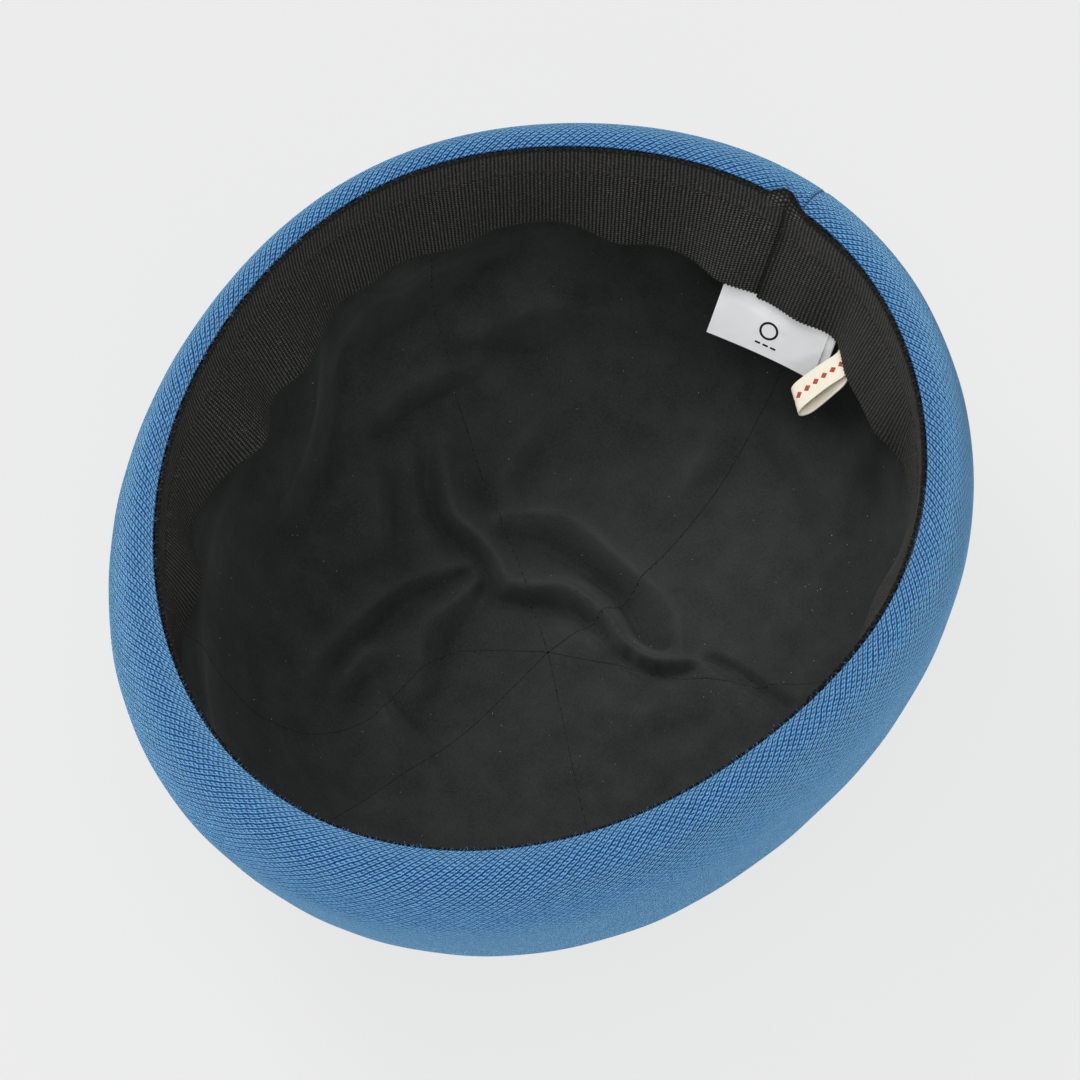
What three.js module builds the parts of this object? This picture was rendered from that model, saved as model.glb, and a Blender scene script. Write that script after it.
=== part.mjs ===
import * as THREE from 'three';

// Docker cap lying on its crown with the opening up, sizes in millimetres and angles in degrees
// +Z is up to the opening, +Y is to the seam at the back, and the floor is at zero
// Directions round the cap are counted from +X towards +Y

// Main sizes
const HEAD_GIRTH = 580;
const OVAL_SLACK = 0.48;
const RIM_MEAN_RADIUS = HEAD_GIRTH / (2 * Math.PI) - OVAL_SLACK;
const RIM_HEIGHT = 106;
const RIM_CENTRE_X = -0.67;
const RIM_CENTRE_Y = 1.3;
const CUFF_HEIGHT = 50;
const LEAN_START = 12;
const CUFF_TO_CROWN = 3.3;
const CROWN_WALL = 1.6;
const CROWN_TOP_OUT = 3.1;
const CROWN_TOP_FLARE = 0.03;
const LINING_WALL = 0.8;
const LINING_GAP = 0.5;
const CROWN_SEAM_GAP = 0.38;
const LINING_SEAM_GAP = 0.5;
const PIECE_START_DOWN = 3.1;
const CROWN_CENTRE_X = 2.3;
const CROWN_CENTRE_Y = 2.0;
const HEM_REACH = 97;
const TIP_SCALE = 0.008;
const LINING_LOFT = 1.8;
const BAND_WIDTH = 32;
const BAND_WALL = 0.9;
const BAND_OUT = -0.45;
const BAND_JOIN = 96;
const BAND_LAP = 6;
const BAND_LAP_STEP = 1.35;
const CARE_WIDTH_START = 78.6;
const CARE_WIDTH_END = 98.3;
const CARE_WALL = 0.4;
const CARE_BEHIND_BAND = 0.3;
const CARE_TOP_DOWN = 12;
const CARE_END_DOWN = 47;
const CARE_BEND_DOWN = 30;
const CARE_SLOPE = 0.45;
const LOOP_LABEL_WALL = 0.36;
const LOOP_LABEL_WIDTH = 6.7;
const NOTCH_DEPTH = 0.7;
const NOTCH_REACH = 0.8;
const BACK = 90;

// Facets
const CUFF_STEPS = 72;
const BAND_STEPS = 72;
const PANEL_STEPS = 8;

// Lobes of the oval opening: lobes round the rim, size, direction of the first lobe
const RIM_LOBES = [
  { lobes: 1, size: 0.22, at: 109.5 },
  { lobes: 2, size: 6.21, at: 88.7 },
  { lobes: 3, size: 1.51, at: 43.1 },
  { lobes: 4, size: 0.49, at: 1.4 },
  { lobes: 5, size: 0.26, at: 15.4 },
  { lobes: 6, size: 0.30, at: 29.8 },
];

// Cloth section of the cuff from the inner edge over the roll to the hem
const CUFF_SECTION = [
  { out: 0.0, down: 0.0, wall: 1.5 },
  { out: 1.8, down: -0.8, wall: 2.1 },
  { out: 4.2, down: -0.9, wall: 2.4 },
  { out: 6.6, down: 0.3, wall: 2.5 },
  { out: 8.8, down: 2.9, wall: 2.5 },
  { out: 10.6, down: 7.4, wall: 2.5 },
  { out: 12.0, down: 15.0, wall: 2.5 },
  { out: 11.8, down: 25.0, wall: 2.5 },
  { out: 10.8, down: 36.0, wall: 2.5 },
  { out: 9.0, down: 48.0, wall: 2.4 },
  { out: 8.3, down: 50.2, wall: 1.6 },
];

// How full the roll is round the cap
const CUFF_FULLNESS = [
  { lobes: 0, cos: 1.007, sin: 0.0 },
  { lobes: 1, cos: 0.135, sin: -0.079 },
  { lobes: 2, cos: -0.135, sin: -0.032 },
  { lobes: 3, cos: -0.003, sin: 0.012 },
];

// How far the cuff leans out per 30 mm of depth
const CUFF_LEAN = [
  { lobes: 0, cos: -1.46, sin: 0.0 },
  { lobes: 1, cos: 0.63, sin: 3.53 },
  { lobes: 2, cos: 0.7, sin: -1.88 },
];

// Rings of the crown from its middle on the floor up to the hem of the cuff
const CROWN_RINGS = [
  { scale: 0.0, down: 106.0 },
  { scale: 0.13, down: 106.0 },
  { scale: 0.26, down: 106.0 },
  { scale: 0.34, down: 105.4 },
  { scale: 0.45, down: 103.4 },
  { scale: 0.56, down: 100.3 },
  { scale: 0.67, down: 95.7 },
  { scale: 0.77, down: 89.4 },
  { scale: 0.855, down: 81.6 },
  { scale: 0.92, down: 73.3 },
  { scale: 0.965, down: 65.1 },
  { scale: 0.99, down: 57.0 },
  { scale: 1.0, down: 50.0 },
];

// Seams of the crown, and of the lining at the wall, at half depth and near the middle
const SEAMS = [
  { crown: -30, wall: -32, half: -36, near: -36 },
  { crown: 30, wall: 28, half: 28, near: 30 },
  { crown: 90, wall: 89, half: 84, near: 77 },
  { crown: 150, wall: 149, half: 149, near: 147 },
  { crown: 210, wall: 234, half: 246, near: 217 },
  { crown: 270, wall: 268, half: 266, near: 269 },
];
const SEAM_WALL_AT = 120;
const SEAM_HALF_AT = 55;
const SEAM_NEAR_AT = 25;

// Folds of the lining: direction and distance from the middle at start, bend and end
const FOLDS = [
  { name: 'upper spine', a1: 157, d1: 68, a2: 163, d2: 50, a3: 151, d3: 33, rise: 4.4, width: 5.0 },
  { name: 'middle spine', a1: 151, d1: 33, a2: 108, d2: 18, a3: 60, d3: 22, rise: 4.6, width: 6.0 },
  { name: 'lower spine', a1: 60, d1: 22, a2: 38, d2: 31, a3: 36, d3: 46, rise: 4.2, width: 5.0 },
  { name: 'spine end', a1: 36, d1: 46, a2: 32, d2: 54, a3: 28, d3: 64, rise: 2.4, width: 5.5 },
  { name: 'trough below spine', a1: 163, d1: 58, a2: 164, d2: 38, a3: 160, d3: 24, rise: -2.0, width: 5.0 },
  { name: 'trough above spine', a1: 135, d1: 40, a2: 92, d2: 29, a3: 54, d3: 32, rise: -2.0, width: 5.5 },
  { name: 'short ridge', a1: 170, d1: 34, a2: 172, d2: 16, a3: 100, d3: 10, rise: 2.0, width: 5.0 },
  { name: 'left ridge', a1: 170, d1: 30, a2: 204, d2: 38, a3: 237, d3: 66, rise: 3.6, width: 5.5 },
  { name: 'left hollow', a1: 170, d1: 26, a2: 212, d2: 26, a3: 248, d3: 36, rise: -2.0, width: 5.5 },
  { name: 'low ridge', a1: 228, d1: 54, a2: 243, d2: 50, a3: 260, d3: 46, rise: 2.2, width: 5.0 },
  { name: 'side dip', a1: 172, d1: 68, a2: 178, d2: 61, a3: 190, d3: 52, rise: -1.6, width: 6.0 },
  { name: 'back dip', a1: 90, d1: 70, a2: 87, d2: 58, a3: 83, d3: 42, rise: -1.5, width: 6.5 },
  { name: 'shoulder crease', a1: 208, d1: 92, a2: 178, d2: 76, a3: 148, d3: 82, rise: -2.0, width: 6.5 },
  { name: 'shoulder fold', a1: 206, d1: 106, a2: 182, d2: 94, a3: 150, d3: 96, rise: 3.6, width: 7.0 },
  { name: 'back pad', a1: 144, d1: 95, a2: 134, d2: 97, a3: 122, d3: 94, rise: 3.2, width: 6.5 },
  { name: 'wall fold', a1: 166, d1: 116, a2: 153, d2: 117, a3: 140, d3: 126, rise: 3.2, width: 6.0 },
  { name: 'side fold', a1: 167, d1: 128, a2: 176, d2: 104, a3: 192, d3: 88, rise: 3.4, width: 7.0 },
  { name: 'right arc', a1: 90, d1: 80, a2: 73, d2: 90, a3: 58, d3: 84, rise: 1.4, width: 6.0 },
];

// Waves of the free edge of the sweatband: direction and lean towards the head
const BAND_WAVES = [
  { at: 0, lean: 7.0 },
  { at: 15, lean: 5.0 },
  { at: 30, lean: 6.0 },
  { at: 40, lean: 2.0 },
  { at: 48, lean: 1.0 },
  { at: 54, lean: 1.6 },
  { at: 60, lean: 7.0 },
  { at: 65, lean: 9.4 },
  { at: 71, lean: 8.8 },
  { at: 78, lean: 6.2 },
  { at: 84, lean: 8.4 },
  { at: 90, lean: 9.4 },
  { at: 99, lean: 12.4 },
  { at: 106, lean: 8.2 },
  { at: 112, lean: 7.1 },
  { at: 118, lean: 8.3 },
  { at: 127, lean: 2.6 },
  { at: 138, lean: 3.0 },
  { at: 145, lean: 6.0 },
  { at: 156, lean: 4.5 },
  { at: 162, lean: 6.1 },
  { at: 169, lean: 5.4 },
  { at: 176, lean: 10.0 },
  { at: 183, lean: 12.7 },
  { at: 191, lean: 10.4 },
  { at: 200, lean: 15.0 },
  { at: 207, lean: 9.8 },
  { at: 214, lean: 6.2 },
  { at: 220, lean: 6.0 },
  { at: 228, lean: 9.2 },
  { at: 238, lean: 5.0 },
  { at: 252, lean: 7.0 },
  { at: 268, lean: 4.5 },
  { at: 284, lean: 7.5 },
  { at: 302, lean: 5.0 },
  { at: 320, lean: 4.0 },
  { at: 340, lean: 8.0 },
];

// Share of the lean, and depth, down the sweatband
const BAND_SECTION = [
  { part: 0.0, share: 0.0 },
  { part: 0.28, share: 0.1 },
  { part: 0.6, share: 0.5 },
  { part: 1.0, share: 1.0 },
];

// Section of the loop label: distance along the tape and back from its near face
const LOOP_LABEL_SECTION = [
  { along: -4.6, back: -4.2 },
  { along: -2.0, back: -1.3 },
  { along: 0.0, back: 0.1 },
  { along: 5.0, back: -0.15 },
  { along: 10.0, back: -0.1 },
  { along: 13.6, back: 0.1 },
  { along: 14.9, back: 0.6 },
  { along: 15.2, back: 1.3 },
  { along: 14.6, back: 2.0 },
  { along: 12.6, back: 2.5 },
  { along: 8.5, back: 2.5 },
  { along: 4.0, back: 1.9 },
  { along: 0.0, back: 1.1 },
  { along: -1.6, back: -0.2 },
  { along: -4.4, back: -3.3 },
];
const LOOP_LABEL_START = { x: 21.7, y: 88.3, down: 33.6 };
const LOOP_LABEL_END = { x: 17.1, y: 78.3, down: 41.0 };
const LOOP_LABEL_EDGE = { x: 0.81, y: -0.585, down: -0.04 };

// Colours
const BLUE = 0x4d88c6;
const BLACK_BAND = 0x2b2a28;
const BLACK_LINING = 0x1f2122;
const WHITE_SATIN = 0xe7e8ec;
const CREAM_TAPE = 0xefe8d5;

const toRadians = (angle) => angle * Math.PI / 180;

const mix = (from, to, share) => from + (to - from) * share;

function smooth(from, to, value) {
  const share = Math.min(Math.max((value - from) / (to - from), 0), 1);
  return share * share * (3 - 2 * share);
}

function lobeSum(table, angle) {
  return table.reduce((sum, row) => sum + row.cos * Math.cos(toRadians(row.lobes * angle))
    + row.sin * Math.sin(toRadians(row.lobes * angle)), 0);
}

function rimRadius(angle) {
  return RIM_LOBES.reduce((sum, row) => sum
    + row.size * Math.cos(toRadians(row.lobes * (angle - row.at))), RIM_MEAN_RADIUS);
}

function onRim(angle) {
  const radius = rimRadius(angle);
  return new THREE.Vector2(radius * Math.cos(toRadians(angle)), radius * Math.sin(toRadians(angle)));
}

// A point beside the rim: distance out from its curve and down from its plane
function besideRim(angle, out, down) {
  const here = onRim(angle);
  const run = onRim(angle + 0.05).sub(onRim(angle - 0.05)).normalize();
  return new THREE.Vector3(here.x + run.y * out, here.y - run.x * out, -down);
}

// A smooth curve through a table with uneven steps
function curveThrough(table, key, value, at) {
  const last = table.length - 1;
  if (at <= table[0][key]) {
    return table[0][value];
  }
  if (at >= table[last][key]) {
    return table[last][value];
  }
  const k = table.findIndex((row) => row[key] > at) - 1;
  const [before, here, next, after] = [Math.max(k - 1, 0), k, k + 1, Math.min(k + 2, last)]
    .map((index) => table[index]);
  const step = next[key] - here[key];
  const share = (at - here[key]) / step;
  const slopeHere = (next[value] - before[value]) / (next[key] - before[key]) * step;
  const slopeNext = (after[value] - here[value]) / (after[key] - here[key]) * step;
  const cube = share ** 3;
  const square = share ** 2;
  return (2 * cube - 3 * square + 1) * here[value] + (cube - 2 * square + share) * slopeHere
    + (3 * square - 2 * cube) * next[value] + (cube - square) * slopeNext;
}

function cuffPoint(angle, out, down) {
  const fullness = lobeSum(CUFF_FULLNESS, angle);
  const lean = lobeSum(CUFF_LEAN, angle) * Math.max(0, down - LEAN_START) / 30;
  return besideRim(angle, out * fullness + lean, down);
}

function cuffOut(angle, down) {
  const side = CUFF_SECTION.slice(4);
  const out = curveThrough(side, 'down', 'out', down);
  const lean = lobeSum(CUFF_LEAN, angle) * Math.max(0, down - LEAN_START) / 30;
  return out * lobeSum(CUFF_FULLNESS, angle) + lean;
}

function crownOut(angle, down) {
  const under = cuffOut(angle, down) - CUFF_TO_CROWN;
  const near = Math.min(CROWN_TOP_OUT + CROWN_TOP_FLARE * down, under);
  return mix(near, under, smooth(2, 48, down));
}

// Distance of each ring from the middle, measured on the cloth
const RING_DISTANCES = CROWN_RINGS.reduce((list, row, k) => {
  const before = CROWN_RINGS[Math.max(k - 1, 0)];
  const step = Math.hypot(HEM_REACH * (row.scale - before.scale), row.down - before.down);
  const distance = (k ? list[k - 1].distance : 0) + step;
  return [...list, { distance, scale: row.scale, down: row.down }];
}, []);
const HEM_DISTANCE = RING_DISTANCES[RING_DISTANCES.length - 1].distance;

// Outer face of the crown at a direction and a distance from the middle
function crownFace(angle, distance) {
  if (distance >= HEM_DISTANCE) {
    const down = CUFF_HEIGHT - (distance - HEM_DISTANCE);
    return besideRim(angle, crownOut(angle, down), down);
  }
  const hem = besideRim(angle, crownOut(angle, CUFF_HEIGHT), 0);
  const scale = curveThrough(RING_DISTANCES, 'distance', 'scale', distance);
  const down = curveThrough(RING_DISTANCES, 'distance', 'down', distance);
  return new THREE.Vector3(mix(CROWN_CENTRE_X, hem.x, scale), mix(CROWN_CENTRE_Y, hem.y, scale), -down);
}

function crownInside(angle, distance, inset) {
  const here = crownFace(angle, distance);
  if (distance < 12) {
    return here.add(new THREE.Vector3(0, 0, inset));
  }
  const along = crownFace(angle, distance + 0.5).sub(crownFace(angle, distance - 0.5));
  const around = crownFace(angle + 0.5, distance).sub(crownFace(angle - 0.5, distance));
  return here.add(along.cross(around).normalize().multiplyScalar(inset));
}

function foldRise(fold, angle, distance) {
  const flat = (a, d) => new THREE.Vector2(d * Math.cos(toRadians(a)), d * Math.sin(toRadians(a)));
  const here = flat(angle, distance);
  const [start, bend, end] = [flat(fold.a1, fold.d1), flat(fold.a2, fold.d2), flat(fold.a3, fold.d3)];
  const middle = bend.multiplyScalar(2).sub(start.clone().add(end).multiplyScalar(0.5));
  const curve = new THREE.QuadraticBezierCurve(start, middle, end);
  const reach = Math.min(...curve.getPoints(14).map((point) => point.distanceTo(here)));
  return fold.rise * Math.exp(-((reach / fold.width) ** 2));
}

// How far the lining stands off the crown
function liningStand(angle, distance) {
  const loft = LINING_LOFT * smooth(118, 84, distance) + 0.3;
  const rise = FOLDS.reduce((sum, fold) => sum + foldRise(fold, angle, distance), 0);
  return Math.max(0, loft + rise);
}

// Closed body between two grids of points with equal rows
function slab(name, outer, inner, ring, colour, roughness) {
  const rows = outer.length;
  const columns = outer[0].length;
  const points = [...outer.flat(), ...inner.flat()];
  const at = (side, i, j) => side * rows * columns + (i % rows) * columns + j;
  const faces = [];
  const quad = (a, b, c, d) => faces.push(a, b, c, a, c, d);
  for (let i = 0; i < (ring ? rows : rows - 1); i += 1) {
    for (let j = 0; j < columns - 1; j += 1) {
      quad(at(0, i, j), at(0, i + 1, j), at(0, i + 1, j + 1), at(0, i, j + 1));
      quad(at(1, i, j), at(1, i, j + 1), at(1, i + 1, j + 1), at(1, i + 1, j));
    }
    quad(at(0, i, 0), at(1, i, 0), at(1, i + 1, 0), at(0, i + 1, 0));
    quad(at(0, i, columns - 1), at(0, i + 1, columns - 1), at(1, i + 1, columns - 1), at(1, i, columns - 1));
  }
  if (!ring) {
    for (let j = 0; j < columns - 1; j += 1) {
      quad(at(0, 0, j), at(0, 0, j + 1), at(1, 0, j + 1), at(1, 0, j));
      quad(at(0, rows - 1, j), at(1, rows - 1, j), at(1, rows - 1, j + 1), at(0, rows - 1, j + 1));
    }
  }
  return closedBody(name, points, faces, colour, roughness);
}

// Faces are turned outwards by the sign of the enclosed volume
function closedBody(name, points, faces, colour, roughness) {
  let volume = 0;
  for (let k = 0; k < faces.length; k += 3) {
    const [a, b, c] = [points[faces[k]], points[faces[k + 1]], points[faces[k + 2]]];
    volume += a.clone().cross(b).dot(c);
  }
  if (volume < 0) {
    faces.reverse();
  }
  const geometry = new THREE.BufferGeometry().setFromPoints(points);
  geometry.setIndex(faces);
  geometry.translate(RIM_CENTRE_X, RIM_CENTRE_Y, RIM_HEIGHT);
  geometry.computeVertexNormals();
  const material = new THREE.MeshStandardMaterial({ color: colour, roughness, metalness: 0 });
  const mesh = new THREE.Mesh(geometry, material);
  mesh.name = name;
  return mesh;
}

// The cuff is rolled over the edge and turned up round the crown
function buildCuff() {
  const stations = Array.from({ length: CUFF_STEPS }, (_, k) => k * 360 / CUFF_STEPS);
  stations.push(BACK - NOTCH_REACH, BACK + NOTCH_REACH);
  stations.sort((a, b) => a - b);
  const outer = stations.map((angle) => {
    const notch = NOTCH_DEPTH * Math.max(0, 1 - Math.abs(angle - BACK) / NOTCH_REACH);
    return CUFF_SECTION.map((row) => cuffPoint(angle, row.out, row.down + notch * smooth(30, 0, row.down)));
  });
  const inner = outer.map((section, i) => section.map((point, j) => {
    const next = section[Math.min(j + 1, section.length - 1)];
    const before = section[Math.max(j - 1, 0)];
    const ahead = outer[(i + 1) % outer.length][j];
    const behind = outer[(i + outer.length - 1) % outer.length][j];
    const normal = next.clone().sub(before).cross(ahead.clone().sub(behind)).normalize();
    return point.clone().addScaledVector(normal, -CUFF_SECTION[j].wall);
  }));
  return slab('cuff', outer, inner, true, BLUE, 0.9);
}

const SHELL_STATIONS = [
  ...CROWN_RINGS.slice(2).map((row, k) => RING_DISTANCES[k + 2].distance),
  ...[40, 26, 12, PIECE_START_DOWN].map((down) => HEM_DISTANCE + CUFF_HEIGHT - down),
];

function panelStations() {
  return [HEM_REACH * TIP_SCALE, RING_DISTANCES[1].distance, ...SHELL_STATIONS];
}

// Directions across a panel that keep half the seam gap at both sides
function acrossPanel(from, to, distance, gap) {
  const reach = Math.max(Math.min(distance, HEM_REACH), 0.1);
  const margin = Math.asin(Math.min(gap / 2 / reach, 0.4)) * 180 / Math.PI;
  return Array.from({ length: PANEL_STEPS + 1 }, (_, k) => mix(from + margin, to - margin, k / PANEL_STEPS));
}

function liningSeam(seam, distance) {
  const table = [
    { distance: SEAM_NEAR_AT, angle: seam.near },
    { distance: SEAM_HALF_AT, angle: seam.half },
    { distance: SEAM_WALL_AT, angle: seam.wall },
  ];
  return curveThrough(table, 'distance', 'angle', distance);
}

function nextSeam(k) {
  return SEAMS[(k + 1) % SEAMS.length].crown + (k + 1 === SEAMS.length ? 360 : 0);
}

// One of the six wedges of the crown
function buildCrownPanel(k) {
  const grid = panelStations().map((distance) => acrossPanel(
    SEAMS[k].crown,
    nextSeam(k),
    distance,
    CROWN_SEAM_GAP,
  ).map((angle) => ({ angle, distance })));
  const outer = grid.map((row) => row.map((spot) => crownFace(spot.angle, spot.distance)));
  const inner = grid.map((row) => row.map((spot) => crownInside(spot.angle, spot.distance, CROWN_WALL)));
  return slab(`crown_panel_${k + 1}`, outer, inner, false, BLUE, 0.9);
}

// One of the six wedges of the lining with its share of the folds
function buildLiningPanel(k) {
  const turn = k + 1 === SEAMS.length ? 360 : 0;
  const grid = panelStations().map((distance) => acrossPanel(
    liningSeam(SEAMS[k], distance),
    liningSeam(SEAMS[(k + 1) % SEAMS.length], distance) + turn,
    distance,
    LINING_SEAM_GAP,
  ).map((angle) => ({ angle, distance, stand: liningStand(angle, distance) })));
  const face = (extra) => grid.map((row) => row.map((spot) => crownInside(
    spot.angle,
    spot.distance,
    CROWN_WALL + LINING_GAP + spot.stand + extra,
  )));
  return slab(`lining_panel_${k + 1}`, face(0), face(LINING_WALL), false, BLACK_LINING, 0.85);
}

function bandLean(angle) {
  const turn = ((angle % 360) + 360) % 360;
  const closed = [...BAND_WAVES, { at: 360, lean: BAND_WAVES[0].lean }, { at: 375, lean: BAND_WAVES[1].lean }];
  return curveThrough(closed, 'at', 'lean', turn);
}

// Depth and inward distance at a part of the width of the sweatband
function bandSpot(angle, part) {
  const lean = bandLean(angle);
  const depth = Math.sqrt(BAND_WIDTH ** 2 - lean ** 2);
  return { inward: lean * curveThrough(BAND_SECTION, 'part', 'share', part), down: part * depth - 0.2 };
}

// The ribbed sweatband hangs free below its seam and laps at the back
function buildSweatband() {
  const stations = Array.from({ length: BAND_STEPS + 1 }, (_, k) => BAND_JOIN
    + k * (360 + BAND_LAP) / BAND_STEPS);
  const parts = [0, 0.3, 0.65, 1];
  const face = (extra) => stations.map((angle) => parts.map((part) => {
    const spot = bandSpot(angle, part);
    const lap = BAND_LAP_STEP * smooth(BAND_JOIN + 350, BAND_JOIN + 359, angle);
    return besideRim(angle, BAND_OUT - spot.inward - lap - extra, spot.down);
  }));
  return slab('sweatband', face(0), face(BAND_WALL), false, BLACK_BAND, 0.95);
}

// The white label hangs from behind the sweatband below its free edge
function buildCareLabel() {
  const columns = Array.from({ length: 7 }, (_, k) => mix(CARE_WIDTH_START, CARE_WIDTH_END, k / 6));
  const depths = [CARE_TOP_DOWN, 18, 24, CARE_BEND_DOWN, 38, CARE_END_DOWN];
  const face = (extra) => columns.map((angle) => depths.map((down) => {
    const behind = bandSpot(angle, Math.min(down, CARE_BEND_DOWN) / BAND_WIDTH).inward;
    const past = CARE_SLOPE * Math.max(0, down - CARE_BEND_DOWN);
    return besideRim(angle, BAND_OUT + CARE_BEHIND_BAND - behind - past - extra, down);
  }));
  return slab('care_label', face(-CARE_WALL), face(0), false, WHITE_SATIN, 0.5);
}

// The cream tape is folded in half with the fold towards the middle of the cap
function buildLoopLabel() {
  const start = new THREE.Vector3(LOOP_LABEL_START.x, LOOP_LABEL_START.y, -LOOP_LABEL_START.down);
  const end = new THREE.Vector3(LOOP_LABEL_END.x, LOOP_LABEL_END.y, -LOOP_LABEL_END.down);
  const along = end.sub(start).normalize();
  const edge = new THREE.Vector3(LOOP_LABEL_EDGE.x, LOOP_LABEL_EDGE.y, -LOOP_LABEL_EDGE.down);
  edge.addScaledVector(along, -edge.dot(along)).normalize();
  const back = edge.clone().cross(along).normalize();
  const path = LOOP_LABEL_SECTION.map((row) => start.clone()
    .addScaledVector(along, row.along).addScaledVector(back, row.back));
  const face = (offset) => path.map((point, k) => {
    const run = path[Math.min(k + 1, path.length - 1)].clone().sub(path[Math.max(k - 1, 0)]);
    const normal = run.cross(edge).normalize();
    const here = point.clone().addScaledVector(normal, offset);
    return [here, here.clone().addScaledVector(edge, LOOP_LABEL_WIDTH)];
  });
  return slab('loop_label', face(LOOP_LABEL_WALL / 2), face(-LOOP_LABEL_WALL / 2), false, CREAM_TAPE, 0.9);
}

const cap = new THREE.Group();
cap.name = 'docker_cap';
cap.add(buildCuff());
SEAMS.forEach((_, k) => cap.add(buildCrownPanel(k)));
SEAMS.forEach((_, k) => cap.add(buildLiningPanel(k)));
cap.add(buildSweatband());
cap.add(buildCareLabel());
cap.add(buildLoopLabel());

export default cap;
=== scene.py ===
"""Docker cap lying on its crown with the opening up: its looks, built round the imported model.

Shapes are worked out in millimetres and degrees and written to the meshes in metres. Directions
round the cap are counted from +X towards +Y, depths go down from the plane of the rim, and a
distance is measured on the cloth from the middle of the crown.
"""

import logging
import math
from collections.abc import Sequence
from dataclasses import asdict, dataclass, field
from enum import Enum
from typing import NamedTuple

import bpy
import numpy as np
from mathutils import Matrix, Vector


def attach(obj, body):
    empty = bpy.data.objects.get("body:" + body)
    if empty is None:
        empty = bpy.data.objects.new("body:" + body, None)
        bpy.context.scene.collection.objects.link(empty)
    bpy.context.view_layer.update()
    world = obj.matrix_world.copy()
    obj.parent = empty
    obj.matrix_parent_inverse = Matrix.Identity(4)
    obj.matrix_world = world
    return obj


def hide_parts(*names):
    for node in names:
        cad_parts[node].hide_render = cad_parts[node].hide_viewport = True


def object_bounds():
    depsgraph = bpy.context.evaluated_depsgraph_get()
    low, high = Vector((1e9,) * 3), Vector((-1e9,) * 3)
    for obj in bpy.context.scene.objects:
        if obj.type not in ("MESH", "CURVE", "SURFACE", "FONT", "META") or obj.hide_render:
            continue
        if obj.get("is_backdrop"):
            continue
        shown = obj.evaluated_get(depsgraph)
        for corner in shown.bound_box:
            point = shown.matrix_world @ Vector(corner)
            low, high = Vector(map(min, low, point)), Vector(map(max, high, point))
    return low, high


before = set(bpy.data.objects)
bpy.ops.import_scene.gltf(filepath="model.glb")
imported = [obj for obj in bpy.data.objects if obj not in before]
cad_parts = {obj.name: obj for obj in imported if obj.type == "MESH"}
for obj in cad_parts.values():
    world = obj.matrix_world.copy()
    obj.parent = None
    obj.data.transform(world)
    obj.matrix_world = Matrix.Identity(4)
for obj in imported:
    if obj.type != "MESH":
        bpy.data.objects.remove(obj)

LOG = logging.getLogger("docker_cap")
MM = 0.001
SHARP_FROM = 55.0
BODY = "root"
BACK = 90.0

Array = np.ndarray
Pair = tuple[float, float]
Triple = tuple[float, float, float]
Piece = bpy.types.Object
Material = bpy.types.Material
Socket = bpy.types.NodeSocket


class Slot(Enum):
    """Names of the material slots."""

    KNIT = "blue_knit"
    BAND = "black_ribbed_band"
    LINING = "black_lining"
    SATIN = "white_satin"
    TAPE = "cream_tape"


class Held(Enum):
    """How a sheet of cloth is held."""

    FOLDED = "folded"
    STRETCHED = "stretched"
    GATHERED = "gathered"
    HUNG = "hung"


class Trace(Enum):
    """Shapes of a wave in a material."""

    SINE = "SINE"
    COSINE = "COSINE"


class Lobe(NamedTuple):
    """One wave of the oval opening: waves round the rim, size, direction of the first."""

    waves: int
    size: float
    at: float


class Wave(NamedTuple):
    """One cosine and sine pair round the cap."""

    waves: int
    cos: float
    sin: float


class Spot(NamedTuple):
    """One point of the cuff's section: distance out from the rim, depth and cloth thickness."""

    out: float
    down: float
    wall: float


class Ring(NamedTuple):
    """One ring of the crown: share of the reach at the hem, and depth."""

    scale: float
    down: float


class Seam(NamedTuple):
    """One seam: its direction in the crown, and in the lining near the middle, half way and up."""

    crown: float
    near: float
    half: float
    wall: float


class Level(NamedTuple):
    """One crest or valley of the lining: its line as direction and distance, and its heights."""

    name: str
    line: tuple[Pair, ...]
    heights: tuple[float, ...]


class Lean(NamedTuple):
    """How far the free edge of the sweatband leans towards the head in one direction."""

    at: float
    lean: float


class Ripple(NamedTuple):
    """One ripple of the cuff's cloth: waves round the cap, depth for a turn of 1, and share."""

    waves: int
    down: float
    share: float


class Swell(NamedTuple):
    """One shallow swell of the lining: length along +X and +Y for a turn of 1, and its start."""

    x: float
    y: float
    start: float


class Marks(NamedTuple):
    """Noise of a material: size of its marks, how much they count, and detail."""

    size: float
    amount: float
    detail: float = 2.0


class Furrow(NamedTuple):
    """Thin dark lines of the knit: how much they count, and how thin they are."""

    amount: float
    sharp: float


class Lamp(NamedTuple):
    """One soft light: where it stands as the camera sees the cap, its side and its power."""

    name: str
    right: float
    up: float
    near: float
    size: float
    power: float


RIM_LOBES = (
    Lobe(1, 0.22, 109.5),
    Lobe(2, 6.21, 88.7),
    Lobe(3, 1.51, 43.1),
    Lobe(4, 0.49, 1.4),
    Lobe(5, 0.26, 15.4),
    Lobe(6, 0.30, 29.8),
)

CUFF_SECTION = (
    Spot(0.0, 0.0, 1.5),
    Spot(1.8, -0.8, 2.1),
    Spot(4.2, -0.9, 2.4),
    Spot(6.6, 0.3, 2.5),
    Spot(8.8, 2.9, 2.5),
    Spot(10.6, 7.4, 2.5),
    Spot(12.0, 15.0, 2.5),
    Spot(11.8, 25.0, 2.5),
    Spot(10.8, 36.0, 2.5),
    Spot(9.0, 48.0, 2.4),
    Spot(8.3, 50.2, 1.6),
)
SIDE_ROWS = 4

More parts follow.
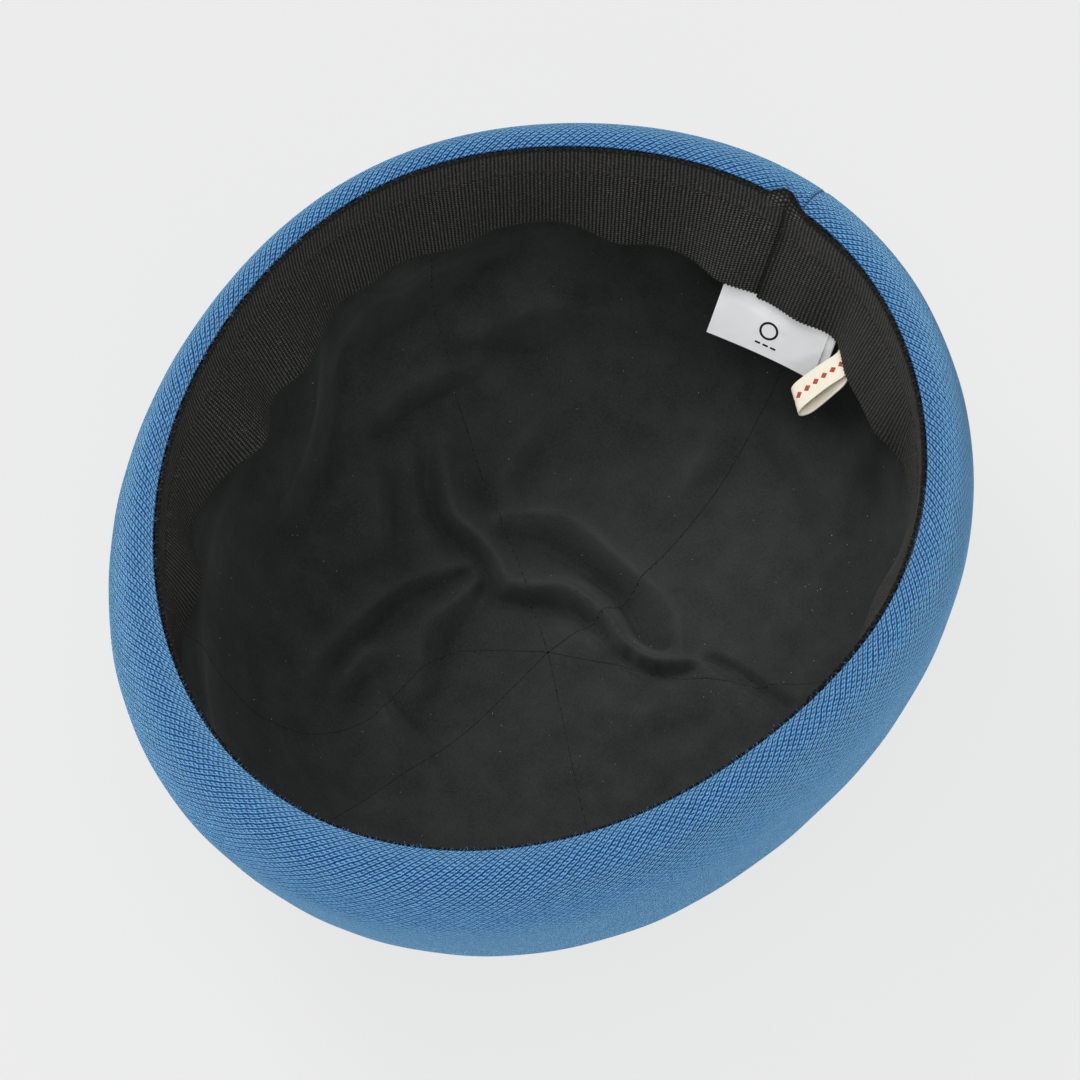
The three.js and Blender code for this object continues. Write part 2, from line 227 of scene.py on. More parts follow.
CUFF_FULLNESS = (Wave(0, 1.007, 0.0), Wave(1, 0.135, -0.079), Wave(2, -0.135, -0.032),
                 Wave(3, -0.003, 0.012))
CUFF_LEAN = (Wave(0, -1.46, 0.0), Wave(1, 0.63, 3.53), Wave(2, 0.7, -1.88))
CUFF_RIPPLES = (Ripple(7, 9, 1.0), Ripple(17, -6, 0.7), Ripple(29, 4, 0.5))
LINING_SWELLS = (Swell(7, 11, 0), Swell(-13, 6, 1.3), Swell(4.1, 5.3, 0))

CROWN_RINGS = (
    Ring(0.0, 106.0),
    Ring(0.13, 106.0),
    Ring(0.26, 106.0),
    Ring(0.34, 105.4),
    Ring(0.45, 103.4),
    Ring(0.56, 100.3),
    Ring(0.67, 95.7),
    Ring(0.77, 89.4),
    Ring(0.855, 81.6),
    Ring(0.92, 73.3),
    Ring(0.965, 65.1),
    Ring(0.99, 57.0),
    Ring(1.0, 50.0),
)

SEAMS = (
    Seam(-30, -36, -36, -32),
    Seam(30, 30, 28, 28),
    Seam(90, 77, 84, 89),
    Seam(150, 147, 149, 149),
    Seam(210, 217, 246, 234),
    Seam(270, 269, 266, 268),
)
SEAM_DISTANCES = (25.0, 55.0, 120.0)

LEVELS = (
    Level("spine crest", ((156, 69), (160, 59), (164, 49), (163, 43), (160, 37), (158, 30),
          (159, 24)), (5, 9.3, 9.3)),
    Level("spine furrow", ((159, 71), (162, 65), (166, 57), (169, 48), (168, 41), (164, 34),
          (165, 29), (171, 24)), (3.2, 1.5, 1.5)),
    Level("spine lip", ((163, 72), (168, 64), (173, 56), (176, 45), (174, 36), (168, 31)),
          (4.3, 5.3, 6)),
    Level("seam side low", ((147, 66), (149, 55), (150, 45)), (3.2, 1.8, 2.5)),
    Level("main crest", ((160, 21), (146, 18), (130, 17), (111, 17), (89, 15), (69, 17), (51, 18),
          (39, 23), (34, 28), (34, 36), (34, 43), (31, 48), (27, 57), (23, 69)), (9.3, 9.3, 5)),
    Level("main furrow", ((173, 22), (156, 16), (131, 13), (104, 13), (82, 14), (67, 15), (49, 17),
          (36, 23), (31, 30), (31, 37), (34, 42)), (1.5, 0.4, 0.4, 0.5, 3.0)),
    Level("main lip", ((183, 19), (168, 12), (132, 7), (71, 9), (52, 13), (35, 17), (25, 24),
          (23, 31), (25, 39)), (4.4, 5.4, 4.6)),
    Level("valley bottom", ((150, 36), (142, 33), (131, 31), (117, 26), (99, 23), (83, 23),
          (67, 23), (54, 24), (47, 27), (43, 33)), (3.4, 1.3, 0.6, 0.6, 2.8)),
    Level("plateau edge", ((150, 42), (138, 40), (126, 38), (112, 34), (94, 29), (78, 30),
          (65, 34), (53, 36), (43, 36)), (6.7, 11.1, 8.5)),
    Level("right crease high", ((39, 40), (37, 49), (32, 58), (28, 67), (24, 79)), (5.8, 6.7, 5)),
    Level("right crease low", ((37, 45), (35, 50), (31, 58), (26, 67), (23, 77)), (2.9, 1.8, 2.5)),
    Level("left edge", ((172, 35), (187, 43), (197, 49), (208, 55), (217, 61), (224, 68),
          (232, 73), (239, 78)), (6.8, 7.8, 4.4)),
    Level("left bottom", ((168, 32), (177, 34), (190, 38), (199, 43), (208, 48), (218, 53),
          (227, 60), (234, 65), (241, 71)), (3.0, 2.2, 3.1)),
    Level("left crest", ((170, 28), (182, 30), (196, 33), (207, 39), (212, 41), (221, 47)),
          (5.6, 6.4, 4.8)),
    Level("hollow edge", ((207, 38), (217, 37), (228, 37), (240, 37)), (6.4, 6, 3.9)),
    Level("hollow bottom", ((170, 28), (183, 25), (201, 26), (218, 28), (235, 29), (250, 34)),
          (1.8, 0.4, 2.2)),
    Level("ring crest", ((231, 60), (224, 55), (221, 46)), (5.7, 6.4, 5.7)),
    Level("ring low", ((244, 56), (236, 54), (231, 50), (231, 45)), (2.5, 1.8, 2.9)),
    Level("notch high", ((238, 50), (249, 48), (259, 46)), (5.7, 6.4, 4.3)),
    Level("notch low", ((238, 46), (250, 41), (260, 38), (267, 37)), (2.5, 0.8, 2.5)),
    Level("side high", ((176, 73), (183, 64), (193, 56)), (5, 6, 4.6)),
    Level("side low", ((170, 68), (178, 59), (189, 52)), (3.2, 2.2, 3.2)),
    Level("back swell high", ((130, 67), (137, 58), (144, 51)), (5, 5.7, 4.6)),
    Level("back swell low", ((124, 64), (132, 54), (139, 47)), (3.2, 2.2, 2.9)),
    Level("seam swell high", ((94, 74), (92, 63), (90, 49)), (5, 6, 4.3)),
    Level("seam swell low", ((88, 76), (87, 67), (83, 51)), (3.2, 1.8, 2.9)),
    Level("floor edge", ((44, 7), (28, 18), (19, 31), (21, 45)), (3.9, 4.3, 3.6)),
    Level("near swell high", ((344, 17), (358, 26), (371, 36)), (4.3, 5.3, 4.3)),
    Level("near swell low", ((346, 35), (364, 40), (377, 51)), (2.2, 1.5, 2.5)),
    Level("wall fold", ((167, 119), (164, 125), (158, 127), (152, 128), (146, 128), (140, 129)),
          (5, 8.5, 5)),
    Level("wall fold low", ((163, 105), (155, 104), (147, 104), (142, 109), (137, 116)), (2.5, 0.8, 1.8)),
    Level("back pad", ((144, 93), (138, 97), (131, 100), (125, 98)), (5, 8.5, 5)),
    Level("back pad low", ((147, 89), (139, 86), (129, 83), (121, 86)), (2.5, 0.8, 2.5)),
    Level("shoulder fold", ((166, 87), (159, 88), (151, 88), (143, 86)), (6, 7.8, 5.7)),
    Level("shoulder low", ((211, 96), (199, 86), (188, 83), (176, 81), (166, 79), (155, 79),
          (146, 79)), (2.5, 0.8, 2.5)),
    Level("side wall fold", ((172, 138), (174, 125), (177, 114), (183, 105), (190, 100), (198, 99)),
          (5.6, 7.4, 5.2)),
    Level("side wall low", ((168, 111), (172, 97), (180, 89), (190, 86)), (2.2, 0.8, 1.8)),
    Level("back hollow", ((124, 101), (119, 101), (117, 109)), (2.5, 1.5, 2.2)),
    Level("back swell", ((137, 122), (132, 128), (125, 129)), (3.9, 5.7, 4.3)),
    Level("label swell", ((117, 65), (109, 62), (103, 66)), (2.5, 1.8, 2.5)),
    Level("right arc high", ((85, 84), (76, 86), (66, 88), (59, 88)), (4.6, 6, 4.6)),
    Level("right arc low", ((85, 78), (76, 77), (66, 78)), (3.2, 2.2, 3.2)),
)

BAND_WAVES = (
    Lean(0, 7.0), Lean(15, 5.0), Lean(30, 6.0), Lean(40, 2.0), Lean(48, 1.0), Lean(54, 1.6),
    Lean(60, 6.4), Lean(65, 7.4), Lean(71, 7.7), Lean(78, 4.6), Lean(84, 8.0), Lean(90, 9.3),
    Lean(99, 12.4), Lean(106, 8.2), Lean(112, 7.1), Lean(118, 8.3), Lean(127, 2.6), Lean(138, 3.0),
    Lean(145, 6.0), Lean(156, 4.5), Lean(162, 6.1), Lean(169, 5.4), Lean(176, 10.0), Lean(183, 12.7),
    Lean(191, 10.4), Lean(200, 15.0), Lean(207, 9.6), Lean(214, 5.4), Lean(220, 4.6), Lean(228, 8.3),
    Lean(238, 3.0), Lean(246, 1.5), Lean(253, 2.6), Lean(268, 4.5), Lean(284, 7.5), Lean(302, 5.0),
    Lean(320, 4.0), Lean(340, 8.0),
)

LOOP_SECTION = ((-4.6, -4.2), (-2.0, -1.3), (0.0, 0.1), (5.0, -0.15), (10.0, -0.1), (13.6, 0.1),
                (14.9, 0.6), (15.2, 1.3), (14.6, 2.0), (12.6, 2.5), (8.5, 2.5), (4.0, 1.9), (0.0, 1.1),
                (-1.6, -0.2), (-4.4, -3.3))

LAMPS = (
    Lamp("key", -0.8, 1.6, -0.7, 0.7, 18.0),
    Lamp("overhead", 0.0, 1.9, 0.3, 1.2, 14.0),
    Lamp("front_fill", 0.3, 0.75, 1.4, 0.8, 8.0),
    Lamp("left_fill", -1.4, 0.5, 0.5, 0.8, 4.0),
    Lamp("right_fill", 1.4, 0.6, 0.3, 0.8, 2.5),
)


def smooth(low: float, high: float, value: Array) -> Array:
    """Rises smoothly from 0 where the value is low to 1 where it is high."""
    share = np.clip((np.asarray(value, float) - low) / (high - low), 0.0, 1.0)
    return share * share * (3.0 - 2.0 * share)


def curve_through(keys: Sequence[float], values: Sequence[float], at: Array) -> Array:
    """Follows a smooth curve through a table with uneven steps.

    Args:
        keys: Where the rows of the table stand, rising.
        values: What the table holds there.
        at: Where to look. Past the ends the curve stays level.

    Returns:
        The curve's value at each place.
    """
    keys, values = np.asarray(keys, float), np.asarray(values, float)
    last = len(keys) - 1
    after, before = np.minimum(np.arange(last + 1) + 1, last), np.maximum(np.arange(last + 1) - 1, 0)
    slopes = (values[after] - values[before]) / (keys[after] - keys[before])
    at = np.clip(np.asarray(at, float), keys[0], keys[-1])
    k = np.clip(np.searchsorted(keys, at, side="right") - 1, 0, last - 1)
    step = keys[k + 1] - keys[k]
    t = (at - keys[k]) / step
    square, cube = t**2, t**3
    return ((2 * cube - 3 * square + 1) * values[k] + (cube - 2 * square + t) * slopes[k] * step
            + (3 * square - 2 * cube) * values[k + 1] + (cube - square) * slopes[k + 1] * step)


def turn_sum(table: Sequence[Wave], angle: Array) -> Array:
    """Adds up the waves of a table in each direction, given in degrees."""
    turn = np.radians(angle)
    return sum(row.cos * np.cos(row.waves * turn) + row.sin * np.sin(row.waves * turn) for row in table)


def unit(vectors: Array) -> Array:
    """Scales vectors along the last axis to length one."""
    return vectors / np.maximum(np.linalg.norm(vectors, axis=-1, keepdims=True), 1e-9)


def turned_in(distance: Array, radius: float) -> Array:
    """Depth that cloth has turned in at a distance from its sewn edge."""
    left = np.clip(radius - distance, 0.0, radius)
    return radius - np.sqrt(radius**2 - left**2)


@dataclass(frozen=True)
class CapForm:
    """The main form of the cap: rim, cuff side, crown and lining, in millimetres and degrees."""

    head_girth: float = 580.0
    oval_slack: float = 0.48
    rim_height: float = 106.0
    rim_x: float = -0.67
    rim_y: float = 1.3
    cuff_height: float = 50.0
    lean_start: float = 12.0
    lean_over: float = 30.0
    cuff_to_crown: float = 3.3
    crown_top_out: float = 3.1
    crown_top_flare: float = 0.03
    crown_meets_cuff: Pair = (2.0, 48.0)
    flat_reach: float = 12.0
    crown_x: float = 2.3
    crown_y: float = 2.0
    hem_reach: float = 97.0

    def rim(self, angle: Array) -> Array:
        """Points of the rim's oval round its own centre.

        Args:
            angle: Directions in degrees.

        Returns:
            The points, with x and y along the last axis.
        """
        radius = self.head_girth / (2 * math.pi) - self.oval_slack
        radius = radius + sum(row.size * np.cos(np.radians(row.waves * (angle - row.at)))
                              for row in RIM_LOBES)
        turn = np.radians(angle)
        return np.stack([radius * np.cos(turn), radius * np.sin(turn)], -1)

    def beside_rim(self, angle: Array, out: Array, down: Array) -> Array:
        """Points beside the rim.

        Args:
            angle: Directions in degrees.
            out: Distance out from the rim's curve.
            down: Depth below the rim's plane.

        Returns:
            The points, from the rim's centre, with x, y and z along the last axis.
        """
        angle, out, down = np.broadcast_arrays(*(np.asarray(v, float) for v in (angle, out, down)))
        here = self.rim(angle)
        run = unit(self.rim(angle + 0.05) - self.rim(angle - 0.05))
        return np.stack([here[..., 0] + run[..., 1] * out, here[..., 1] - run[..., 0] * out, -down], -1)

    def lean(self, angle: Array, down: Array) -> Array:
        """How far the side of the cuff leans out at a depth."""
        return turn_sum(CUFF_LEAN, angle) * np.maximum(0.0, down - self.lean_start) / self.lean_over

    def cuff_out(self, angle: Array, down: Array) -> Array:
        """Distance of the cuff's side out from the rim.

        Args:
            angle: Directions in degrees.
            down: Depth below the rim's plane.

        Returns:
            The distance.
        """
        side = CUFF_SECTION[SIDE_ROWS:]
        out = curve_through([row.down for row in side], [row.out for row in side], down)
        return out * turn_sum(CUFF_FULLNESS, angle) + self.lean(angle, down)

    def crown_out(self, angle: Array, down: Array) -> Array:
        """Distance of the crown's side out from the rim.

        Args:
            angle: Directions in degrees.
            down: Depth below the rim's plane.

        Returns:
            The distance.
        """
        under = self.cuff_out(angle, down) - self.cuff_to_crown
        near = np.minimum(self.crown_top_out + self.crown_top_flare * down, under)
        return near + (under - near) * smooth(*self.crown_meets_cuff, down)

    @property
    def ring_distances(self) -> Array:
        """Distance of each ring of the crown from the middle."""
        scale = np.array([row.scale for row in CROWN_RINGS])
        down = np.array([row.down for row in CROWN_RINGS])
        steps = np.hypot(self.hem_reach * np.diff(scale), np.diff(down))
        return np.concatenate([[0.0], np.cumsum(steps)])

    @property
    def hem_distance(self) -> float:
        """Distance of the cuff's hem from the middle of the crown."""
        return float(self.ring_distances[-1])

    def crown(self, angle: Array, distance: Array) -> Array:
        """Outer face of the crown.

        Args:
            angle: Directions in degrees.
            distance: Distances from the middle.

        Returns:
            The points, from the rim's centre.
        """
        angle, distance = np.broadcast_arrays(np.asarray(angle, float), np.asarray(distance, float))
        rings = self.ring_distances
        side_down = np.minimum(self.cuff_height, self.cuff_height - (distance - rings[-1]))
        side = self.beside_rim(angle, self.crown_out(angle, side_down), side_down)
        hem = self.beside_rim(angle, self.crown_out(angle, np.full_like(angle, self.cuff_height)), 0)
        scale = curve_through(rings, [row.scale for row in CROWN_RINGS], distance)
        down = curve_through(rings, [row.down for row in CROWN_RINGS], distance)
        cap = np.stack([self.crown_x + (hem[..., 0] - self.crown_x) * scale,
                        self.crown_y + (hem[..., 1] - self.crown_y) * scale, -down], -1)
        return np.where((distance >= rings[-1])[..., None], side, cap)

    def inward(self, angle: Array, distance: Array) -> Array:
        """Directions into the cap, square to the crown.

        Args:
            angle: Directions in degrees.
            distance: Distances from the middle.

        Returns:
            Vectors of length one.
        """
        along = self.crown(angle, distance + 0.5) - self.crown(angle, distance - 0.5)
        around = self.crown(angle + 0.5, distance) - self.crown(angle - 0.5, distance)
        flat = (np.asarray(distance) < self.flat_reach)[..., None]
        return np.where(flat, np.array([0.0, 0.0, 1.0]), unit(np.cross(along, around)))

    def inside(self, angle: Array, distance: Array, inset: Array) -> Array:
        """Points at a distance inside the crown's outer face, from the rim's centre."""
        return (self.crown(angle, distance)
                + self.inward(angle, distance) * np.asarray(inset, float)[..., None])

    def place(self, points: Array) -> Array:
        """Moves points from the rim's centre, in millimetres, to the frame, in metres."""
        return (points + np.array([self.rim_x, self.rim_y, self.rim_height])) * MM


def lining_seam(seam: Seam, distance: Array) -> Array:
    """Directions of a seam of the lining at distances from the middle."""
    return curve_through(SEAM_DISTANCES, (seam.near, seam.half, seam.wall), distance)


def next_seam(k: int) -> tuple[Seam, float]:
    """The seam after number k, and the turn of 0 or 360 to add to its directions."""
    last = k + 1 == len(SEAMS)
    return SEAMS[(k + 1) % len(SEAMS)], 360.0 if last else 0.0


def linear(red: float, green: float, blue: float) -> Triple:
    """Turns a screen colour from 0 to 255 into light."""
    return tuple(((c / 255 + 0.055) / 1.055) ** 2.4 if c > 10 else c / 255 / 12.92
                 for c in (red, green, blue))


def show(name: str, data: bpy.types.ID) -> Piece:
    """Adds an object to the scene.

    Args:
        name: Its name.
        data: Its mesh, light or camera.

    Returns:
        The object.
    """
    shown = bpy.data.objects.new(name, data)
    bpy.context.scene.collection.objects.link(shown)
    return shown


class Wiring:
    """A node tree of materials or of geometry, filled and joined with short calls."""

    def __init__(self, tree: bpy.types.NodeTree) -> None:
        """Starts from an empty tree.

        Args:
            tree: The tree to fill.
        """
        self.tree = tree
        tree.nodes.clear()

    def feed(self, socket: Socket, value: object) -> None:
        """Joins a socket to another, or sets its value.

        Args:
            socket: The input to feed.
            value: An output socket, or a plain value.
        """
        if isinstance(value, Socket):
            self.tree.links.new(value, socket)
        else:
            socket.default_value = value

    def add(self, kind: str, inputs: dict[str | int, object] | None = None,
            **settings: object) -> bpy.types.Node:
        """Adds a node.

        Args:
            kind: The node's type.
            inputs: Values or sockets for its inputs, by name or number.
            settings: Its settings.

        Returns:
            The node.
        """
        node = self.tree.nodes.new(kind)
        for name, value in settings.items():
            setattr(node, name, value)
        for name, value in (inputs or {}).items():
            self.feed(node.inputs[name], value)
        return node

    def math(self, operation: str, *values: object) -> Socket:
        """Adds a Math node with its inputs in order, and gives its output."""
        return self.add("ShaderNodeMath", dict(enumerate(values)), operation=operation).outputs[0]

    def total(self, *terms: tuple[float, object]) -> Socket:
        """Adds up weighted values.

        Args:
            terms: Pairs of a weight and a socket.

        Returns:
            The sum.
        """
        weight, value = terms[0]
        running = self.math("MULTIPLY", value, weight)
        for weight, value in terms[1:]:
            running = self.math("MULTIPLY_ADD", value, weight, running)
        return running


class Surface(Wiring):
    """A material built from nodes round one Principled shader."""

    def __init__(self, name: str) -> None:
        """Makes the material with its shader and output.

        Args:
            name: The material's name.
        """
        self.material = bpy.data.materials.new(name)
        self.material.use_nodes = True
        super().__init__(self.material.node_tree)
        self.shader = self.add("ShaderNodeBsdfPrincipled")
        output = self.add("ShaderNodeOutputMaterial")
        self.tree.links.new(self.shader.outputs[0], output.inputs[0])

    def cloth_place(self) -> tuple[Socket, Socket]:
        """Reads the piece's own map of the cloth.

        Returns:
            The distance along and across the cloth in millimetres.
        """
        uv = self.add("ShaderNodeUVMap", uv_map="cloth")
        parts = self.add("ShaderNodeSeparateXYZ", {0: uv.outputs[0]})
        return tuple(self.math("MULTIPLY", parts.outputs[k], 1 / MM) for k in (0, 1))

    def object_place(self) -> Socket:
        """Place on the piece in metres, in the part's frame."""
        return self.add("ShaderNodeTexCoord").outputs["Object"]

    def noise(self, size: float, detail: float = 2.0) -> Socket:
        """Adds a noise pattern from 0 to 1, its marks measured in millimetres."""
        return self.add("ShaderNodeTexNoise", {"Vector": self.object_place(), "Scale": 1 / (size * MM),
                                               "Detail": detail, "Roughness": 0.55}).outputs[0]

    def marked(self, value: Socket, *marks: Marks) -> Socket:
        """Adds noise to a value, such as a place on the cloth that wanders with it.

        Args:
            value: The value.
            marks: The kinds of noise.

        Returns:
            The sum.
        """
        for one in marks:
            value = self.math("MULTIPLY_ADD", self.noise(one.size, one.detail), one.amount, value)
        return value

    def wave(self, trace: Trace, place: Socket, pitch: float) -> Socket:
        """Adds a wave from -1 to 1 along the cloth, its pitch in millimetres."""
        return self.math(trace.value, self.math("MULTIPLY", place, 2 * math.pi / pitch))

    def between(self, value: Socket, limits: Pair, first: float, last: float, eased: bool = False) -> Socket:
        """Leads from one number to another while a value passes between two limits.

        Args:
            value: The value.
            limits: Where the change starts and ends.
            first: The number before it.
            last: The number after it.
            eased: True for a change that starts and ends gently.

        Returns:
            The number.
        """
        return self.add("ShaderNodeMapRange", {0: value, 1: limits[0], 2: limits[1], 3: first, 4: last},
                        interpolation_type="SMOOTHSTEP" if eased else "LINEAR").outputs[0]

    def ramp(self, value: Socket, places: Sequence[float], *colours: tuple[float, ...]) -> Socket:
        """Adds a colour ramp.

        Args:
            value: What it reads.
            places: Where its colours stand.
            colours: Screen colours from 0 to 255.

        Returns:
            Its colour.
        """
        node = self.add("ShaderNodeValToRGB", {0: value})
        elements = node.color_ramp.elements
        while len(elements) < len(places):
            elements.new(0.5)
        for element, place, colour in zip(elements, places, colours):
            element.position = place
            element.color = (*linear(*colour), 1.0)
        return node.outputs[0]

    def bump(self, *layers: tuple[Socket, float]) -> None:
        """Gives the shader bumps, one layer over another.

        Args:
            layers: Pairs of a height from 0 to 1 and its depth in millimetres.
        """
        normal = None
        for height, depth in layers:
            inputs = {"Height": height, "Distance": depth * MM, "Strength": 1.0}
            if normal is not None:
                inputs["Normal"] = normal
            normal = self.add("ShaderNodeBump", inputs).outputs[0]
        self.feed(self.shader.inputs["Normal"], normal)

    def finish(self, **sockets: object) -> Material:
        """Sets the shader's sockets.

        Args:
            sockets: Values or sockets, with _ for a blank in the name.

        Returns:
            The material.
        """
        for name, value in sockets.items():
            self.feed(self.shader.inputs[name.replace("_", " ")], value)
        return self.material


@dataclass(frozen=True)
class PiqueKnit:
    """Blue knit with small raised stitches between thin slanted furrows that cross."""

    wale: float = 1.1
    course: float = 0.73
    wander_along: tuple[Marks, ...] = (Marks(6.0, 0.9), Marks(1.1, 0.35, 1.0))
    wander_down: Marks = Marks(3.0, 0.5)
    slant: Furrow = Furrow(0.66, 2.8)
    counter: Furrow = Furrow(0.33, 3.4)
    row: Furrow = Furrow(0.42, 2.0)
    row_start: float = 0.7
    plies: float = 0.30
    least_worn: float = 0.15
    worn: Marks = Marks(0.9, 1.6)
    middle: float = 0.36
    grain: tuple[Marks, ...] = (Marks(0.34, 0.66, 3.0), Marks(0.2, 0.38, 1.0))
    stitch_change: float = 0.08
    # Painted sheen and blur: from these depths down the cuff's side, reached sooner on the side toward the
    # camera, the knit is flattened and made lighter.
    calm_limits: Pair = (15.0, 23.0)
    calm_lean: Triple = (26.4, -30.1, 0.0)
    calm: float = 0.42
    blur_size: float = 0.5
    relief: float = 0.30
    fine_relief: Pair = (0.12, 0.04)
    trough: Triple = (8, 52, 98)
    face: Triple = (42, 95, 146)
    crest: Triple = (108, 162, 211)
    colour_places: Triple = (0.10, 0.52, 0.92)
    sheen: float = 0.95
    sheen_tint: Triple = (150, 206, 236)

    @staticmethod
    def furrow(s: Surface, turn: Socket, sharp: float) -> Socket:
        """Lines of a wave, 1 in the middle of each, and the thinner the sharper."""
        level = s.math("MULTIPLY_ADD", s.math("COSINE", turn), -0.5, 0.5)
        return s.math("POWER", level, sharp)

    def stitch(self, s: Surface, *turns: Socket) -> Socket:
        """A random value for each stitch.

        Args:
            s: The material.
            turns: Angles of the two waves that cross.

        Returns:
            The value, from 0 to 1.
        """
        cell = [s.math("FLOOR", s.math("MULTIPLY_ADD", turn, 0.5 / math.pi, 0.5)) for turn in turns]
        place = s.add("ShaderNodeCombineXYZ", {0: cell[0], 1: cell[1]}).outputs[0]
        return s.add("ShaderNodeTexWhiteNoise", {"Vector": place}).outputs[0]

    def material(self) -> Material:
        """Builds the knit's material.

        Returns:
            The material.
        """
        s = Surface("blue_knit")
        u, v = s.cloth_place()
        # Painted sheen and blur, leaning toward the camera's side.
        lean = s.add("ShaderNodeVectorMath", {0: s.object_place(), 1: self.calm_lean},
                     operation="DOT_PRODUCT").outputs["Value"]
        painted_sheen_fade = s.between(s.math("ADD", v, lean), self.calm_limits, 1.0, self.calm, True)
        u = s.marked(u, *self.wander_along)
        v = s.marked(v, self.wander_down)
        across = s.math("MULTIPLY", u, math.pi / self.wale)
        down = s.math("MULTIPLY", v, math.pi / self.course)
        slant = s.math("ADD", across, down)
        counter = s.math("SUBTRACT", across, down)
        rows = s.math("MULTIPLY_ADD", v, 2 * math.pi / self.course, self.row_start)
        plies = s.math("COSINE", s.math("MULTIPLY", slant, 2.0))
        worn = s.math("MULTIPLY_ADD", s.noise(self.worn.size), self.worn.amount, self.least_worn)
        lines = s.total((self.slant.amount, self.furrow(s, slant, self.slant.sharp)),
                        (self.counter.amount, self.furrow(s, counter, self.counter.sharp)))
        furrows = s.total((1.0, s.math("MULTIPLY", lines, worn)),
                          (self.row.amount, self.furrow(s, rows, self.row.sharp)), (self.plies, plies))
        knit = s.math("MULTIPLY", s.math("SUBTRACT", self.middle, furrows), painted_sheen_fade)
        blur = s.math("MULTIPLY", s.math("SUBTRACT", 1.0, painted_sheen_fade),
                      s.math("SUBTRACT", s.noise(self.blur_size, 3.0), 0.5))
        grain = s.total((self.stitch_change, self.stitch(s, slant, counter)), (1.0, blur))
        height = s.math("ADD", knit, s.marked(grain, *self.grain))
        # Painted sheen: lighter colour where the knit is flattened.
        height = s.math("ADD", height, s.math("MULTIPLY_ADD", painted_sheen_fade, -0.05, 0.06))
        colour = s.ramp(height, self.colour_places, self.trough, self.face, self.crest)
        s.bump((height, self.relief), (s.noise(self.fine_relief[0]), self.fine_relief[1]))
        return s.finish(Base_Color=colour, Roughness=0.92, Sheen_Weight=self.sheen, Sheen_Roughness=0.35,
                        Sheen_Tint=(*linear(*self.sheen_tint), 1.0), Specular_IOR_Level=0.15)


@dataclass(frozen=True)
class RibbedBand:
    """Black grosgrain: ribs across the band, each of small beads of thread, set alternately."""

    rib: float = 1.0
    dot: float = 0.66
    wander_along: Marks = Marks(2.5, 0.35)
    wander_down: Marks = Marks(1.2, 0.5)
    rib_height: float = 0.20
    dot_height: float = 0.27
    fibre: Marks = Marks(0.3, 0.35, 3.0)
    middle_height: float = 0.32
    brightness: float = 0.85
    hem: float = 9.6
    dust: float = 0.12
    hem_dust: float = 0.10
    speck_limits: Pair = (0.60, 0.74)
    speck: float = 0.38
    lap_ragged: Marks = Marks(1.6, 3.0, 3.0)
    lap_end: Pair = (585.4, 587.0)
    lap_start: Pair = (9.8, 11.6)
    lap_shade: float = 0.78
    edge_limits: Pair = (0.2, 1.4)
    edge_shade: float = 0.55
    relief: float = 0.28
    groove: Triple = (11, 11, 10)
    middle: Triple = (34, 34, 33)
    bead: Triple = (100, 99, 95)
    colour_places: Triple = (0.22, 0.52, 0.90)

    def weave(self, s: Surface, u: Socket, v: Socket) -> Socket:
        """Height of the ribs and their beads.

        Args:
            s: The material.
            u: Distance along the band, as the threads wander.
            v: Distance down the band, as the threads wander.

        Returns:
            The height, about from 0 to 1.
        """
        ribs = s.wave(Trace.COSINE, u, self.rib)
        dots = s.math("MULTIPLY", s.wave(Trace.COSINE, u, 2 * self.rib), s.wave(Trace.COSINE, v, self.dot))
        height = s.total((self.rib_height, ribs), (self.dot_height, dots))
        return s.math("ADD", s.marked(height, self.fibre), self.middle_height)

    def shade(self, s: Surface, u: Socket, v: Socket) -> Socket:
        """Darkening at the top edge and beside the lapped end.

        Args:
            s: The material.
            u: Distance along the band.
            v: Distance down the band, as the threads wander.

        Returns:
            A factor, 1 where the band isn't darkened.
        """
        ragged = s.marked(s.math("SUBTRACT", u, self.lap_ragged.amount / 2), self.lap_ragged)
        before = s.between(ragged, self.lap_end, 1.0, self.lap_shade)
        after = s.between(ragged, self.lap_start, self.lap_shade, 1.0)
        edge = s.between(v, self.edge_limits, self.edge_shade, 1.0)
        return s.math("MULTIPLY", edge, s.math("MULTIPLY", before, after))

    def material(self) -> Material:
        """Builds the band's material.

        Returns:
            The material.
        """
        s = Surface("black_ribbed_band")
        u, v = s.cloth_place()
        hem = s.math("LESS_THAN", v, self.hem)
        v = s.marked(v, self.wander_down)
        height = self.weave(s, s.marked(u, self.wander_along), v)
        dust = s.math("MULTIPLY", s.noise(1.5, 3.0), s.math("MULTIPLY_ADD", hem, self.hem_dust, self.dust))
        dust = s.math("ADD", dust, s.between(s.noise(0.55), self.speck_limits, 0.0, self.speck))
        mix = s.math("ADD", s.math("MULTIPLY", height, self.brightness), dust)
        mix = s.math("MULTIPLY", mix, self.shade(s, u, v))
        colour = s.ramp(mix, self.colour_places, self.groove, self.middle, self.bead)
        s.bump((height, self.relief), (s.noise(0.1), 0.03))
        return s.finish(Base_Color=colour, Roughness=0.95, Sheen_Weight=0.03, Sheen_Roughness=0.6,
                        Specular_IOR_Level=0.10)


